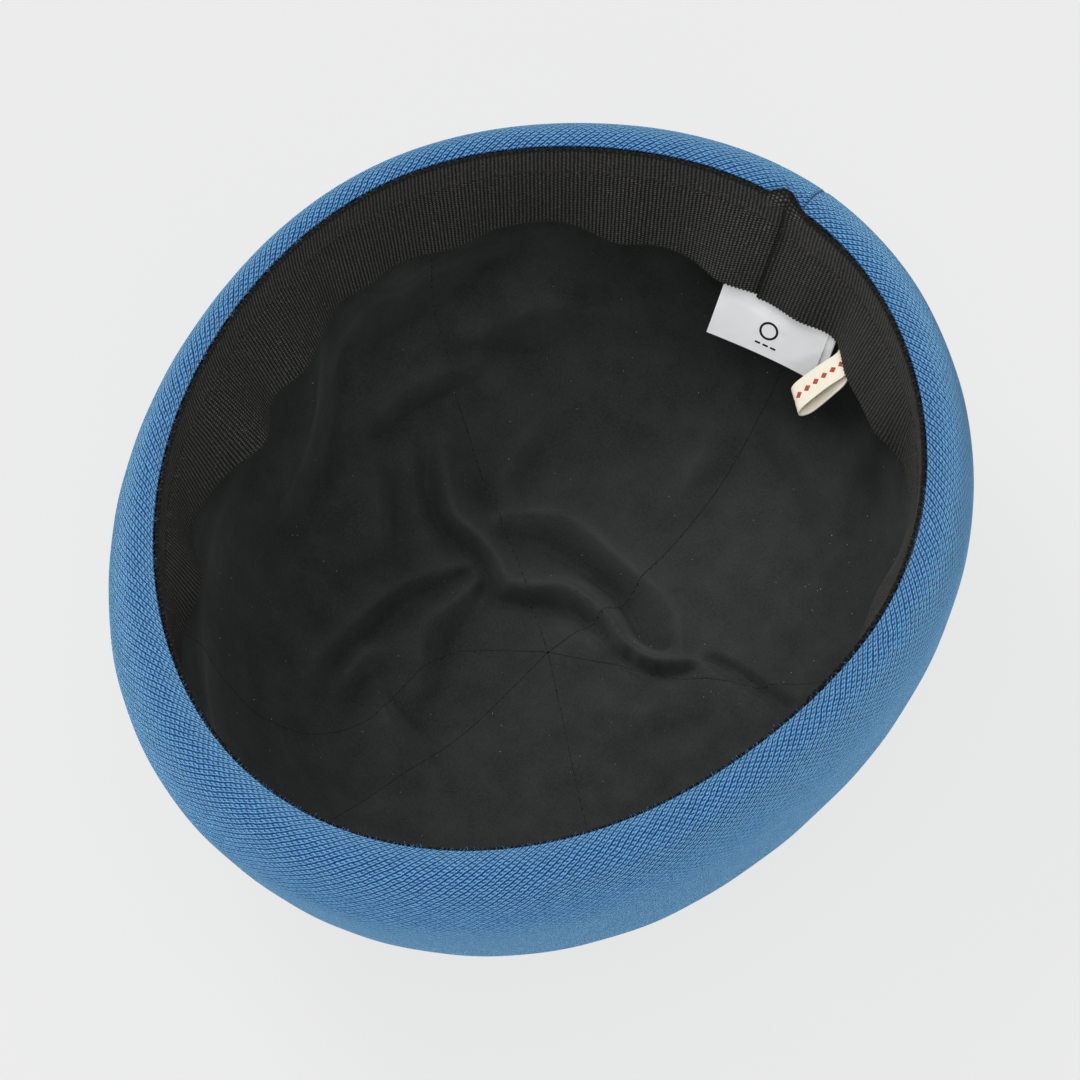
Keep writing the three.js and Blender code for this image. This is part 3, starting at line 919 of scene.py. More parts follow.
@dataclass(frozen=True)
class CottonLining:
    """Black cotton in a fine plain weave, a little dusty, with a round patch of the floor made lighter and
    more mottled: painted light with some dust.
    """

    thread: float = 0.32
    shade: Triple = (25, 27, 26)
    light: Triple = (59, 61, 60)
    colour_places: Pair = (0.26, 0.80)
    # Painted light with dust: a round patch of the floor made lighter and more mottled.
    dusty_at: Triple = (-5.0, 48.0, 10.0)
    dusty_reach: Pair = (15 * MM, 75 * MM)
    dusty: float = 0.13
    dust: tuple[Marks, ...] = (Marks(0.55, 0.45, 3.0), Marks(9.0, 0.35))
    weave_shade: float = 0.2
    hollow_shade: float = 0.2

    def material(self) -> Material:
        """Builds the lining's material.

        Returns:
            The material.
        """
        s = Surface("black_lining")
        u, v = s.cloth_place()
        threads = s.math("MULTIPLY", s.wave(Trace.SINE, u, self.thread), s.wave(Trace.SINE, v, self.thread))
        weave = s.math("MULTIPLY_ADD", threads, 0.25, 0.5)
        away = s.add("ShaderNodeVectorMath", {0: s.object_place(), 1: [c * MM for c in self.dusty_at]},
                     operation="DISTANCE").outputs["Value"]
        dusty = s.between(away, self.dusty_reach, self.dusty, 0.0, True)
        grain = s.math("MULTIPLY_ADD", s.noise(0.45, 3.0), 2.4, -0.2)
        hollow = s.add("ShaderNodeAttribute", attribute_name="hollow").outputs["Fac"]
        # Colour mix: weave, the patch of painted light with dust, and painted shade in the fold valleys.
        dust = s.total((self.weave_shade, weave), (1.0, s.math("MULTIPLY", dusty, grain)),
                       (-self.hollow_shade, hollow))
        colour = s.ramp(s.marked(dust, *self.dust), self.colour_places, self.shade, self.light)
        s.bump((s.noise(3.5, 3.0), 0.18), (weave, 0.02), (s.noise(0.5, 2.0), 0.05))
        return s.finish(Base_Color=colour, Roughness=0.85, Sheen_Weight=0.10, Sheen_Roughness=0.5,
                        Specular_IOR_Level=0.15)


@dataclass(frozen=True)
class SatinLabel:
    """White satin tape with a fine cross rib."""

    rib: float = 0.22
    shade: Triple = (249, 250, 251)
    light: Triple = (254, 254, 255)

    def material(self) -> Material:
        """Builds the label's material.

        Returns:
            The material.
        """
        s = Surface("white_satin")
        _, v = s.cloth_place()
        ribs = s.math("MULTIPLY_ADD", s.wave(Trace.SINE, v, self.rib), 0.5, 0.5)
        colour = s.ramp(s.noise(5.0), (0.3, 0.7), self.shade, self.light)
        s.bump((s.noise(6.0, 2.0), 0.25), (ribs, 0.012))
        return s.finish(Base_Color=colour, Roughness=0.42, Sheen_Weight=0.1, Specular_IOR_Level=0.4)


@dataclass(frozen=True)
class WovenTape:
    """Cream woven tape with a row of small red lozenges."""

    thread: float = 0.3
    lozenge: float = 2.6
    half_height: float = 1.1
    tip: float = 0.25
    ground: Triple = (233, 225, 203)
    light: Triple = (243, 237, 220)
    figure: Triple = (176, 62, 44)

    def material(self) -> Material:
        """Builds the tape's material.

        Returns:
            The material.
        """
        s = Surface("cream_tape")
        u, v = s.cloth_place()
        threads = s.math("MULTIPLY", s.wave(Trace.SINE, v, self.thread), s.wave(Trace.SINE, u, self.thread))
        weave = s.math("MULTIPLY_ADD", threads, 0.4, 0.5)
        ground = s.ramp(s.total((0.6, weave), (0.4, s.noise(1.2))), (0.2, 0.8), self.ground, self.light)
        step = s.math("PINGPONG", v, self.lozenge / 2)
        side = s.math("ABSOLUTE", u)
        reach = s.math("SUBTRACT", s.math("MULTIPLY", step, 2 * self.half_height / self.lozenge), self.tip)
        inside = s.math("LESS_THAN", side, reach)
        colour = s.add("ShaderNodeMix", {"Factor": inside, 6: ground, 7: (*linear(*self.figure), 1.0)},
                       data_type="RGBA").outputs[2]
        s.bump((weave, 0.05), (s.noise(0.3), 0.04))
        return s.finish(Base_Color=colour, Roughness=0.85, Sheen_Weight=0.1)


@dataclass(frozen=True)
class Yarn:
    """Plain fuzzy thread of one colour."""

    name: str
    shade: Triple
    light: Triple

    def material(self) -> Material:
        """Builds the thread's material.

        Returns:
            The material.
        """
        s = Surface(self.name)
        colour = s.ramp(s.noise(0.6), (0.3, 0.7), self.shade, self.light)
        s.bump((s.noise(0.15), 0.03))
        return s.finish(Base_Color=colour, Roughness=0.9, Specular_IOR_Level=0.2)


def grid_faces(rows: int, columns: int) -> Array:
    """Corner numbers of the faces between two equal grids of points, edges closed.

    Args:
        rows: Rows of each grid.
        columns: Points in a row.

    Returns:
        Four corner numbers for each face.
    """
    one = np.arange(rows * columns).reshape(rows, columns)
    two = one + rows * columns

    def quads(a: Array, b: Array, c: Array, d: Array) -> Array:
        """Stacks four corner grids into faces."""
        return np.stack([a.ravel(), b.ravel(), c.ravel(), d.ravel()], 1)

    return np.concatenate([
        quads(one[:-1, :-1], one[:-1, 1:], one[1:, 1:], one[1:, :-1]),
        quads(two[:-1, :-1], two[1:, :-1], two[1:, 1:], two[:-1, 1:]),
        quads(one[:-1, 0], one[1:, 0], two[1:, 0], two[:-1, 0]),
        quads(one[:-1, -1], two[:-1, -1], two[1:, -1], one[1:, -1]),
        quads(one[0, :-1], two[0, :-1], two[0, 1:], one[0, 1:]),
        quads(one[-1, :-1], one[-1, 1:], two[-1, 1:], two[-1, :-1]),
    ])


def mesh_piece(name: str, points: Array, faces: Array, cloth: Array | None = None) -> Piece:
    """Makes a smooth mesh object whose faces point outwards.

    Args:
        name: The piece's name.
        points: Its points in metres.
        faces: Corner numbers of its faces.
        cloth: Place of each point on the flat cloth, in metres.

    Returns:
        The object.
    """
    corners = points[faces]
    volume = np.einsum("ij,ij->", corners[:, 0], np.cross(corners[:, 1] - corners[:, 0],
                                                          corners[:, 2] - corners[:, 0]))
    volume += np.einsum("ij,ij->", corners[:, 0], np.cross(corners[:, 2] - corners[:, 0],
                                                           corners[:, -1] - corners[:, 0]))
    if volume < 0:
        faces = faces[:, ::-1]
    mesh = bpy.data.meshes.new(name)
    mesh.from_pydata(points.tolist(), [], faces.tolist())
    mesh.polygons.foreach_set("use_smooth", np.ones(len(faces), bool))
    if cloth is not None:
        layer = mesh.uv_layers.new(name="cloth")
        layer.data.foreach_set("uv", cloth[faces.ravel()].astype(np.float32).ravel())
    mesh.update()
    return show(name, mesh)


def cloth_shell(name: str, face: Array, back: Array, cloth: Array) -> Piece:
    """Makes a closed piece of cloth between two grids of points.

    Args:
        name: The piece's name.
        face: Grid of its face, in metres.
        back: Grid of its back, in metres.
        cloth: Grid of places on the flat cloth, in metres.

    Returns:
        The object.
    """
    rows, columns = face.shape[:2]
    points = np.concatenate([face.reshape(-1, 3), back.reshape(-1, 3)])
    flat = np.tile(cloth.reshape(-1, 2), (2, 1))
    return mesh_piece(name, points, grid_faces(rows, columns), flat)


def wear(piece: Piece, material: Material, slot: Slot, *nodes: str) -> None:
    """Dresses a piece, lets it ride on the cap, and hides the CAD nodes that it stands for.

    Args:
        piece: The piece.
        material: Its material.
        slot: A material slot; not used.
        nodes: CAD nodes that it stands for.
    """
    piece.data.materials.clear()
    piece.data.materials.append(material)
    piece.data.set_sharp_from_angle(angle=math.radians(SHARP_FROM))
    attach(piece, BODY)
    if nodes:
        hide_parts(*nodes)
    triangles = sum(len(p.vertices) - 2 for p in piece.data.polygons)
    LOG.info("%s: %d triangles", piece.name, triangles)


def run_nodes(base: Piece, tree: bpy.types.NodeTree, inputs: dict[str, object], name: str) -> Piece:
    """Runs a Geometry Nodes tree on an object and keeps the result as a plain mesh.

    Args:
        base: The object that it starts from, which is removed.
        tree: The tree.
        inputs: Values for its named inputs.
        name: Name of the finished piece.

    Returns:
        The finished piece.
    """
    modifier = base.modifiers.new(tree.name, "NODES")
    modifier.node_group = tree
    for item in tree.interface.items_tree:
        if item.in_out == "INPUT" and item.name in inputs:
            modifier[item.identifier] = inputs[item.name]
    bpy.context.view_layer.update()
    graph = bpy.context.evaluated_depsgraph_get()
    mesh = bpy.data.meshes.new_from_object(base.evaluated_get(graph))
    bpy.data.objects.remove(base)
    mesh.name = name
    return show(name, mesh)


class GeometryTree(Wiring):
    """A Geometry Nodes tree with named inputs that ends in real geometry with a material."""

    def __init__(self, name: str, material: Material, **sizes: float) -> None:
        """Makes the tree and its inputs.

        Args:
            name: The tree's name.
            material: The material of its result.
            sizes: Names and first values of its inputs. Names that end in seed are whole numbers.
        """
        tree = bpy.data.node_groups.new(name, "GeometryNodeTree")
        super().__init__(tree)
        tree.interface.new_socket("Geometry", in_out="INPUT", socket_type="NodeSocketGeometry")
        for key, value in sizes.items():
            kind = "NodeSocketInt" if key.endswith("seed") else "NodeSocketFloat"
            tree.interface.new_socket(key, in_out="INPUT", socket_type=kind).default_value = value
        tree.interface.new_socket("Geometry", in_out="OUTPUT", socket_type="NodeSocketGeometry")
        self.given = self.add("NodeGroupInput").outputs
        self.material = material

    def named(self, name: str) -> Socket:
        """Reads a named vector of the geometry."""
        return self.add("GeometryNodeInputNamedAttribute", {"Name": name},
                        data_type="FLOAT_VECTOR").outputs["Attribute"]

    def scaled(self, vector: Socket, scale: Socket) -> Socket:
        """Scales a vector."""
        return self.add("ShaderNodeVectorMath", {0: vector, "Scale": scale}, operation="SCALE").outputs[0]

    def follow(self, pitch: Socket) -> Socket:
        """Sets points along the line that the tree is given, a pitch apart."""
        line = self.add("GeometryNodeMeshToCurve", {0: self.given["Geometry"]}).outputs[0]
        return self.add("GeometryNodeResampleCurve", {"Curve": line, "Length": pitch},
                        mode="LENGTH").outputs[0]

    def set_out(self, points: Socket, shape: Socket, turn: Socket, size: Socket) -> bpy.types.NodeTree:
        """Sets a shape on every point and ends the tree.

        Args:
            points: The points.
            shape: The shape.
            turn: Its rotation.
            size: Its scale.

        Returns:
            The tree.
        """
        made = self.add("GeometryNodeInstanceOnPoints", {"Points": points, "Instance": shape,
                                                         "Rotation": turn, "Scale": size})
        return self.end(made.outputs[0])

    def scatter(self, seed: Socket, low: object, high: object) -> Socket:
        """A random value for each point.

        Args:
            seed: The seed.
            low: Lowest value, one number or three.
            high: Highest value, of the same kind.

        Returns:
            The value.
        """
        vector = isinstance(low, tuple)
        kind, first = ("FLOAT_VECTOR", 0) if vector else ("FLOAT", 2)
        node = self.add("FunctionNodeRandomValue", {first: low, first + 1: high, "Seed": seed},
                        data_type=kind)
        return node.outputs[0 if vector else 1]

    def end(self, geometry: Socket) -> bpy.types.NodeTree:
        """Makes instances real, sets the material and ends the tree.

        Args:
            geometry: What the tree made.

        Returns:
            The tree.
        """
        real = self.add("GeometryNodeRealizeInstances", {0: geometry}).outputs[0]
        shaded = self.add("GeometryNodeSetShadeSmooth", {0: real}).outputs[0]
        dressed = self.add("GeometryNodeSetMaterial", {0: shaded, "Material": self.material}).outputs[0]
        self.add("NodeGroupOutput", {0: dressed})
        return self.tree


def rib_tree(material: Material) -> bpy.types.NodeTree:
    """Raises ribs on a band, square to its face, from the map of its cloth.

    Args:
        material: The band's material.

    Returns:
        The tree, with inputs pitch and rise.
    """
    t = GeometryTree("ribs", material, pitch=1.0 * MM, rise=0.1 * MM)
    parts = t.add("ShaderNodeSeparateXYZ", {0: t.named("place")}).outputs
    turn = t.math("MULTIPLY", t.math("DIVIDE", parts[0], t.given["pitch"]), 2 * math.pi)
    lift = t.math("MULTIPLY", t.math("MULTIPLY", t.math("COSINE", turn), t.given["rise"]), parts[2])
    offset = t.scaled(t.add("GeometryNodeInputNormal").outputs[0], lift)
    moved = t.add("GeometryNodeSetPosition", {0: t.given["Geometry"], "Offset": offset}).outputs[0]
    return t.end(moved)


def stitch_tree(material: Material) -> bpy.types.NodeTree:
    """Lays small rounded stitches along a line, flat on the cloth.

    Args:
        material: The thread's material.

    Returns:
        The tree, with inputs pitch, length, width and height.
    """
    t = GeometryTree("stitches", material, pitch=1.0 * MM, length=0.8 * MM, width=0.3 * MM,
                     height=0.2 * MM)
    points = t.follow(t.given["pitch"])
    bead = t.add("GeometryNodeMeshUVSphere", {"Segments": 6, "Rings": 5, "Radius": 0.5}).outputs[0]
    size = t.add("ShaderNodeCombineXYZ", {0: t.given["length"], 1: t.given["width"],
                                          2: t.given["height"]}).outputs[0]
    tangent = t.add("GeometryNodeInputTangent").outputs[0]
    turn = t.add("FunctionNodeAxesToRotation", {0: t.named("up"), 1: tangent}, primary_axis="Z",
                 secondary_axis="X").outputs[0]
    return t.set_out(points, bead, turn, size)


def fibre_tree(material: Material) -> bpy.types.NodeTree:
    """Scatters short curved fibres along a line, standing roughly along its up direction.

    Args:
        material: The fibres' material.

    Returns:
        The tree, with inputs pitch, length, radius, spread, stray and seed.
    """
    t = GeometryTree("fibres", material, pitch=0.4 * MM, length=0.8 * MM, radius=0.02 * MM,
                     spread=0.3 * MM, stray=1.0, seed=3)
    points = t.follow(t.given["pitch"])
    seed, every_way = t.given["seed"], ((-1.0, -1.0, -1.0), (1.0, 1.0, 1.0))
    offset = t.scaled(t.scatter(seed, *every_way), t.given["spread"])
    points = t.add("GeometryNodeSetPosition", {0: points, "Offset": offset}).outputs[0]
    hair = t.add("GeometryNodeCurveQuadraticBezier", {"Resolution": 3, "Start": (0.0, 0.0, 0.0),
                                                      "Middle": (0.25, 0.0, 0.6),
                                                      "End": (0.0, 0.15, 1.0)}).outputs[0]
    thin = t.math("DIVIDE", t.given["radius"], t.given["length"])
    thinner = t.add("ShaderNodeCombineXYZ", {0: thin, 1: thin, 2: thin}).outputs[0]
    circle = t.add("GeometryNodeCurvePrimitiveCircle", {"Resolution": 3, "Radius": 1.0}).outputs[0]
    profile = t.add("GeometryNodeTransform", {0: circle, "Scale": thinner}).outputs[0]
    tube = t.add("GeometryNodeCurveToMesh", {"Curve": hair, "Profile Curve": profile,
                                             "Fill Caps": True}).outputs[0]
    astray = t.scaled(t.scatter(t.math("ADD", seed, 1.0), *every_way), t.given["stray"])
    way = t.add("ShaderNodeVectorMath", {0: t.named("up"), 1: astray}, operation="ADD").outputs[0]
    turn = t.add("FunctionNodeAlignRotationToVector", {"Vector": way}, axis="Z").outputs[0]
    size = t.math("MULTIPLY", t.scatter(t.math("ADD", seed, 2.0), 0.5, 1.4), t.given["length"])
    return t.set_out(points, tube, turn, size)


def line_piece(points: Array, up: Array, closed: bool = False) -> Piece:
    """Makes an object of edges for a tree to follow.

    Args:
        points: The line's points in metres.
        up: Direction off the cloth at each point.
        closed: True where the line ends at its start.

    Returns:
        The object.
    """
    count = len(points)
    edges = [(k, k + 1) for k in range(count - 1)] + ([(count - 1, 0)] if closed else [])
    mesh = bpy.data.meshes.new("line")
    mesh.from_pydata(points.tolist(), edges, [])
    attribute = mesh.attributes.new("up", "FLOAT_VECTOR", "POINT")
    attribute.data.foreach_set("vector", np.asarray(up, np.float32).ravel())
    return show("line", mesh)


@dataclass(frozen=True)
class Stitch:
    """Sizes of a row of stitches in millimetres."""

    pitch: float
    length: float
    width: float
    height: float

    def sew(self, name: str, points: Array, up: Array, thread: Material) -> Piece:
        """Lays the stitches along a line.

        Args:
            name: The piece's name.
            points: The line's points in metres.
            up: Direction off the cloth at each point.
            thread: The thread's material.

        Returns:
            The piece.
        """
        inputs = {key: value * MM for key, value in asdict(self).items()}
        return run_nodes(line_piece(points, up), stitch_tree(thread), inputs, name)


@dataclass(frozen=True)
class Fibres:
    """Sizes of loose fibres in millimetres, how far they lean astray, and their seed."""

    pitch: float
    length: float
    radius: float
    spread: float
    stray: float
    seed: int

    def grow(self, name: str, points: Array, up: Array, thread: Material, closed: bool = False) -> Piece:
        """Sets the fibres along a line.

        Args:
            name: The piece's name.
            points: The line's points in metres.
            up: The way that they stand at each point.
            thread: Their material.
            closed: True where the line ends at its start.

        Returns:
            The piece.
        """
        inputs = {key: getattr(self, key) * MM for key in ("pitch", "length", "radius", "spread")}
        inputs.update(stray=self.stray, seed=self.seed)
        return run_nodes(line_piece(points, up, closed), fibre_tree(thread), inputs, name)


def across_cloth(width: Array, inner_steps: int, radius: float) -> Array:
    """Distances across a panel, close together at its two sewn edges.

    Args:
        width: Width of the panel in each row.
        inner_steps: Even steps between the edges.
        radius: Radius of the turned-in edges.

    Returns:
        A row of distances for each width.
    """
    rim = radius * (1 - np.cos(np.radians([0, 22, 44, 66, 90])))
    rim = np.concatenate([rim, [1.6 * radius]])
    width = np.asarray(width, float)[:, None]
    edge = np.minimum(1.0, width / (4 * rim[-1])) * rim[None, :]
    share = np.linspace(0, 1, inner_steps + 1)[None, 1:-1]
    inner = edge[:, -1:] + (width - 2 * edge[:, -1:]) * share
    return np.concatenate([edge, inner, width - edge[:, ::-1]], 1)


class Wedge(NamedTuple):
    """A laid out wedge of cloth: widths, directions, distances, depth at its seams and flat places."""

    width: Array
    angle: Array
    far: Array
    dip: Array
    cloth: Array


def lay_out(form: CapForm, first: Array, span: Array, distance: Array, gap: float, steps: int,
            radius: float) -> Wedge:
    """Lays out a wedge of cloth between two seams.

    Args:
        form: The cap's form.
        first: Direction of its first seam in each row.
        span: Turn to its second seam in each row.
        distance: Distance of each row from the middle.
        gap: Gap between two wedges.
        steps: Even steps across it.
        radius: Radius of its turned-in edges.

    Returns:
        The wedge.
    """
    reach = np.minimum(distance, form.hem_reach)
    width = np.radians(span) * reach - gap
    x = across_cloth(width, steps, radius)
    margin = np.degrees(gap / 2 / reach)[:, None]
    angle = first[:, None] + margin + (span[:, None] - 2 * margin) * x / width[:, None]
    far = distance[:, None] * np.ones_like(angle)
    dip = turned_in(np.minimum(x, width[:, None] - x), radius)
    return Wedge(width, angle, far, dip, np.stack([x - width[:, None] / 2, far], -1) * MM)


@dataclass
class Cuff:
    """The blue cloth rolled over the rim and turned up outside, sewn into a ring at the back."""

    form: CapForm
    girth: float = 640.0
    columns: int = 480
    rows: int = 80
    measured_row: int = 24
    seam_radius: float = 0.9
    seam_depth: float = 1.2
    ripple: float = 0.09

    def section(self) -> tuple[Array, Array, Array]:
        """Rows down the cuff's face, spaced evenly on the cloth.

        Returns:
            Their distance out, depth and cloth thickness.
        """
        out = np.array([row.out for row in CUFF_SECTION])
        down = np.array([row.down for row in CUFF_SECTION])
        wall = np.array([row.wall for row in CUFF_SECTION])
        length = np.concatenate([[0.0], np.cumsum(np.hypot(np.diff(out), np.diff(down)))])
        at = np.linspace(0, length[-1], self.rows)
        return curve_through(length, out, at), curve_through(length, down, at), np.interp(at, length, wall)

    def waves(self, angle: Array, down: Array) -> Array:
        """Height of the cloth's shallow ripples in a direction and at a depth."""
        rows = (row.share * np.sin(np.radians(angle * row.waves) + down / row.down) for row in CUFF_RIPPLES)
        return self.ripple * sum(rows) * smooth(-1, 13, down)

    def build(self, material: Material) -> Piece:
        """Builds the cuff.

        Args:
            material: The knit.

        Returns:
            The piece.
        """
        form = self.form
        out, down, wall = self.section()
        columns = across_cloth(np.array([self.girth]), self.columns, self.seam_radius)[0]
        angle = BACK + 360.0 * columns / self.girth
        turn = angle[:, None]
        face = form.beside_rim(turn, out * turn_sum(CUFF_FULLNESS, turn) + form.lean(turn, down), down)
        normal = unit(np.cross(np.gradient(face, axis=1), np.gradient(face, axis=0)))
        normal *= np.where(normal[:, :1, 2:] < 0, -1.0, 1.0)
        edge = np.minimum(columns, self.girth - columns)[:, None]
        dip = turned_in(edge, self.seam_radius) * self.seam_depth
        face = face + normal * (self.waves(turn, down) - dip)[..., None]
        back = face - normal * wall[None, :, None]
        ring = np.linalg.norm(np.diff(face[:, self.measured_row], axis=0), axis=1)
        u = np.concatenate([[0.0], np.cumsum(ring)])
        v = np.concatenate([np.zeros((len(angle), 1)),
                            np.cumsum(np.linalg.norm(np.diff(face, axis=1), axis=2), axis=1)], 1)
        cloth = np.stack([np.broadcast_to(u[:, None], v.shape), v], -1) * MM
        piece = cloth_shell("cuff_knit", form.place(face), form.place(back), cloth)
        wear(piece, material, Slot.KNIT, "cuff")
        return piece


@dataclass
class CuffFuzz:
    """Short blue fibres along the rim."""

    form: CapForm
    fibres: Fibres = Fibres(0.33, 0.75, 0.028, 0.35, 0.9, 23)
    out: float = 0.25
    down: float = -0.1
    rise: float = 0.8

    def build(self, thread: Material) -> Piece:
        """Builds the fibres.

        Args:
            thread: The fibres' material.

        Returns:
            The piece.
        """
        points = self.form.beside_rim(np.arange(0, 360, 0.5), self.out, self.down)
        up = unit(unit(-points * (1, 1, 0)) + np.array([0.0, 0.0, self.rise]))
        piece = self.fibres.grow("cuff_fuzz", self.form.place(points), up, thread, True)
        wear(piece, thread, Slot.KNIT)
        return piece


@dataclass
class Crown:
    """Six wedges of blue cloth, seamed together, flat on the floor in the middle."""

    form: CapForm
    wall: float = 1.6
    least_wall: float = 0.5
    seam_radius: float = 0.7
    seam_depth: float = 0.9
    seams_from: Pair = (1.0, 8.0)
    gap: float = 0.1
    middle: float = 0.3
    rows: int = 60
    columns: int = 28
    start_down: float = 3.1

    def wedge(self, k: int, material: Material) -> Piece:
        """Builds one wedge.

        Args:
            k: Its number, from 0.
            material: The knit.

        Returns:
            The piece.
        """
        form = self.form
        seam, turn = next_seam(k)
        end = form.hem_distance + form.cuff_height - self.start_down
        distance = np.linspace(self.middle, end, self.rows)
        first = np.full_like(distance, SEAMS[k].crown)
        wedge = lay_out(form, first, seam.crown + turn - first, distance, self.gap, self.columns,
                        self.seam_radius)
        dip = wedge.dip * smooth(*self.seams_from, wedge.far) * self.seam_depth
        face = form.inside(wedge.angle, wedge.far, dip)
        back = form.inside(wedge.angle, wedge.far, np.maximum(dip + self.least_wall, self.wall))
        piece = cloth_shell(f"crown_knit_{k + 1}", form.place(face), form.place(back), wedge.cloth)
        wear(piece, material, Slot.KNIT, f"crown_panel_{k + 1}")
        return piece

    def build(self, material: Material) -> list[Piece]:
        """Builds all six wedges from the knit."""
        return [self.wedge(k, material) for k in range(len(SEAMS))]


@dataclass
class Drape:
    """Heights of loose cloth on a flat plan, relaxed between the drawn crests and valleys."""

    reach: float = 176.0
    base: float = 3.4
    pull: float = 13.0
    cells: tuple[float, ...] = (6.4, 3.2, 1.6, 0.8)
    rounds: int = 120
    softenings: int = 5
    mean_rounds: int = 150
    deep: float = 3.2
    grid: Array = field(init=False)
    hollow: Array = field(init=False)

    def __post_init__(self) -> None:
        """Relaxes the cloth on finer and finer grids, then rounds its edges a little."""
        self.grid = np.full((3, 3), self.base)
        cell_before = self.reach
        for cell in self.cells:
            line = np.arange(-self.reach, self.reach + cell / 2, cell)
            x, y = np.meshgrid(line, line)
            grid = self.read(self.grid, cell_before, x, y)
            held, height = self.drawn(cell, len(line))
            share = (cell / self.pull) ** 2
            for _ in range(self.rounds):
                grid = (self.neighbours(grid) + share * self.base) / (4 + share)
                grid[held] = height[held]
            self.grid, cell_before = grid, cell
        for _ in range(self.softenings):
            self.grid = self.grid / 2 + self.neighbours(self.grid) / 8
        mean = self.grid
        for _ in range(self.mean_rounds):
            mean = mean / 2 + self.neighbours(mean) / 8
        self.hollow = np.clip((mean - self.grid) / self.deep, -1.0, 1.0)

    @staticmethod
    def neighbours(grid: Array) -> Array:
        """Sum of the four cells beside each cell."""
        return np.roll(grid, 1, 0) + np.roll(grid, -1, 0) + np.roll(grid, 1, 1) + np.roll(grid, -1, 1)

    def drawn(self, cell: float, count: int) -> tuple[Array, Array]:
        """Marks the cells that the drawn lines cross.

        Args:
            cell: Size of a cell.
            count: Cells along a side.

        Returns:
            Which cells are held, and at what height.
        """
        hits, total = np.zeros((count, count)), np.zeros((count, count))
        for level in LEVELS:
            turn = np.radians([spot[0] for spot in level.line])
            away = np.array([spot[1] for spot in level.line], float)
            x, y = away * np.cos(turn), away * np.sin(turn)
            length = np.concatenate([[0.0], np.cumsum(np.hypot(np.diff(x), np.diff(y)))])
            at = np.linspace(0, length[-1], int(2 * length[-1] / cell) + 2)
            share = np.linspace(0, length[-1], len(level.heights))
            j = np.rint((curve_through(length, x, at) + self.reach) / cell).astype(int)
            i = np.rint((curve_through(length, y, at) + self.reach) / cell).astype(int)
            np.add.at(hits, (i, j), 1.0)
            np.add.at(total, (i, j), np.interp(at, share, level.heights))
        return hits > 0, total / np.maximum(hits, 1.0)

    def read(self, grid: Array, cell: float, x: Array, y: Array) -> Array:
        """Reads a grid between its cells.

        Args:
            grid: The grid.
            cell: Size of its cells.
            x: Places along +X.
            y: Places along +Y.

        Returns:
            The heights.
        """
        last = len(grid) - 1.001
        j, i = np.clip((x + self.reach) / cell, 0, last), np.clip((y + self.reach) / cell, 0, last)
        j0, i0 = j.astype(int), i.astype(int)
        tj, ti = j - j0, i - i0
        low = grid[i0, j0] * (1 - tj) + grid[i0, j0 + 1] * tj
        high = grid[i0 + 1, j0] * (1 - tj) + grid[i0 + 1, j0 + 1] * tj
        return low * (1 - ti) + high * ti

    def sample(self, x: Array, y: Array) -> Array:
        """Height of the cloth at places along +X and +Y."""
        return self.read(self.grid, self.cells[-1], x, y)

    def hollow_at(self, x: Array, y: Array) -> Array:
        """How deep the cloth lies, from -1 on a crest to 1 in a valley."""
        return self.read(self.hollow, self.cells[-1], x, y)


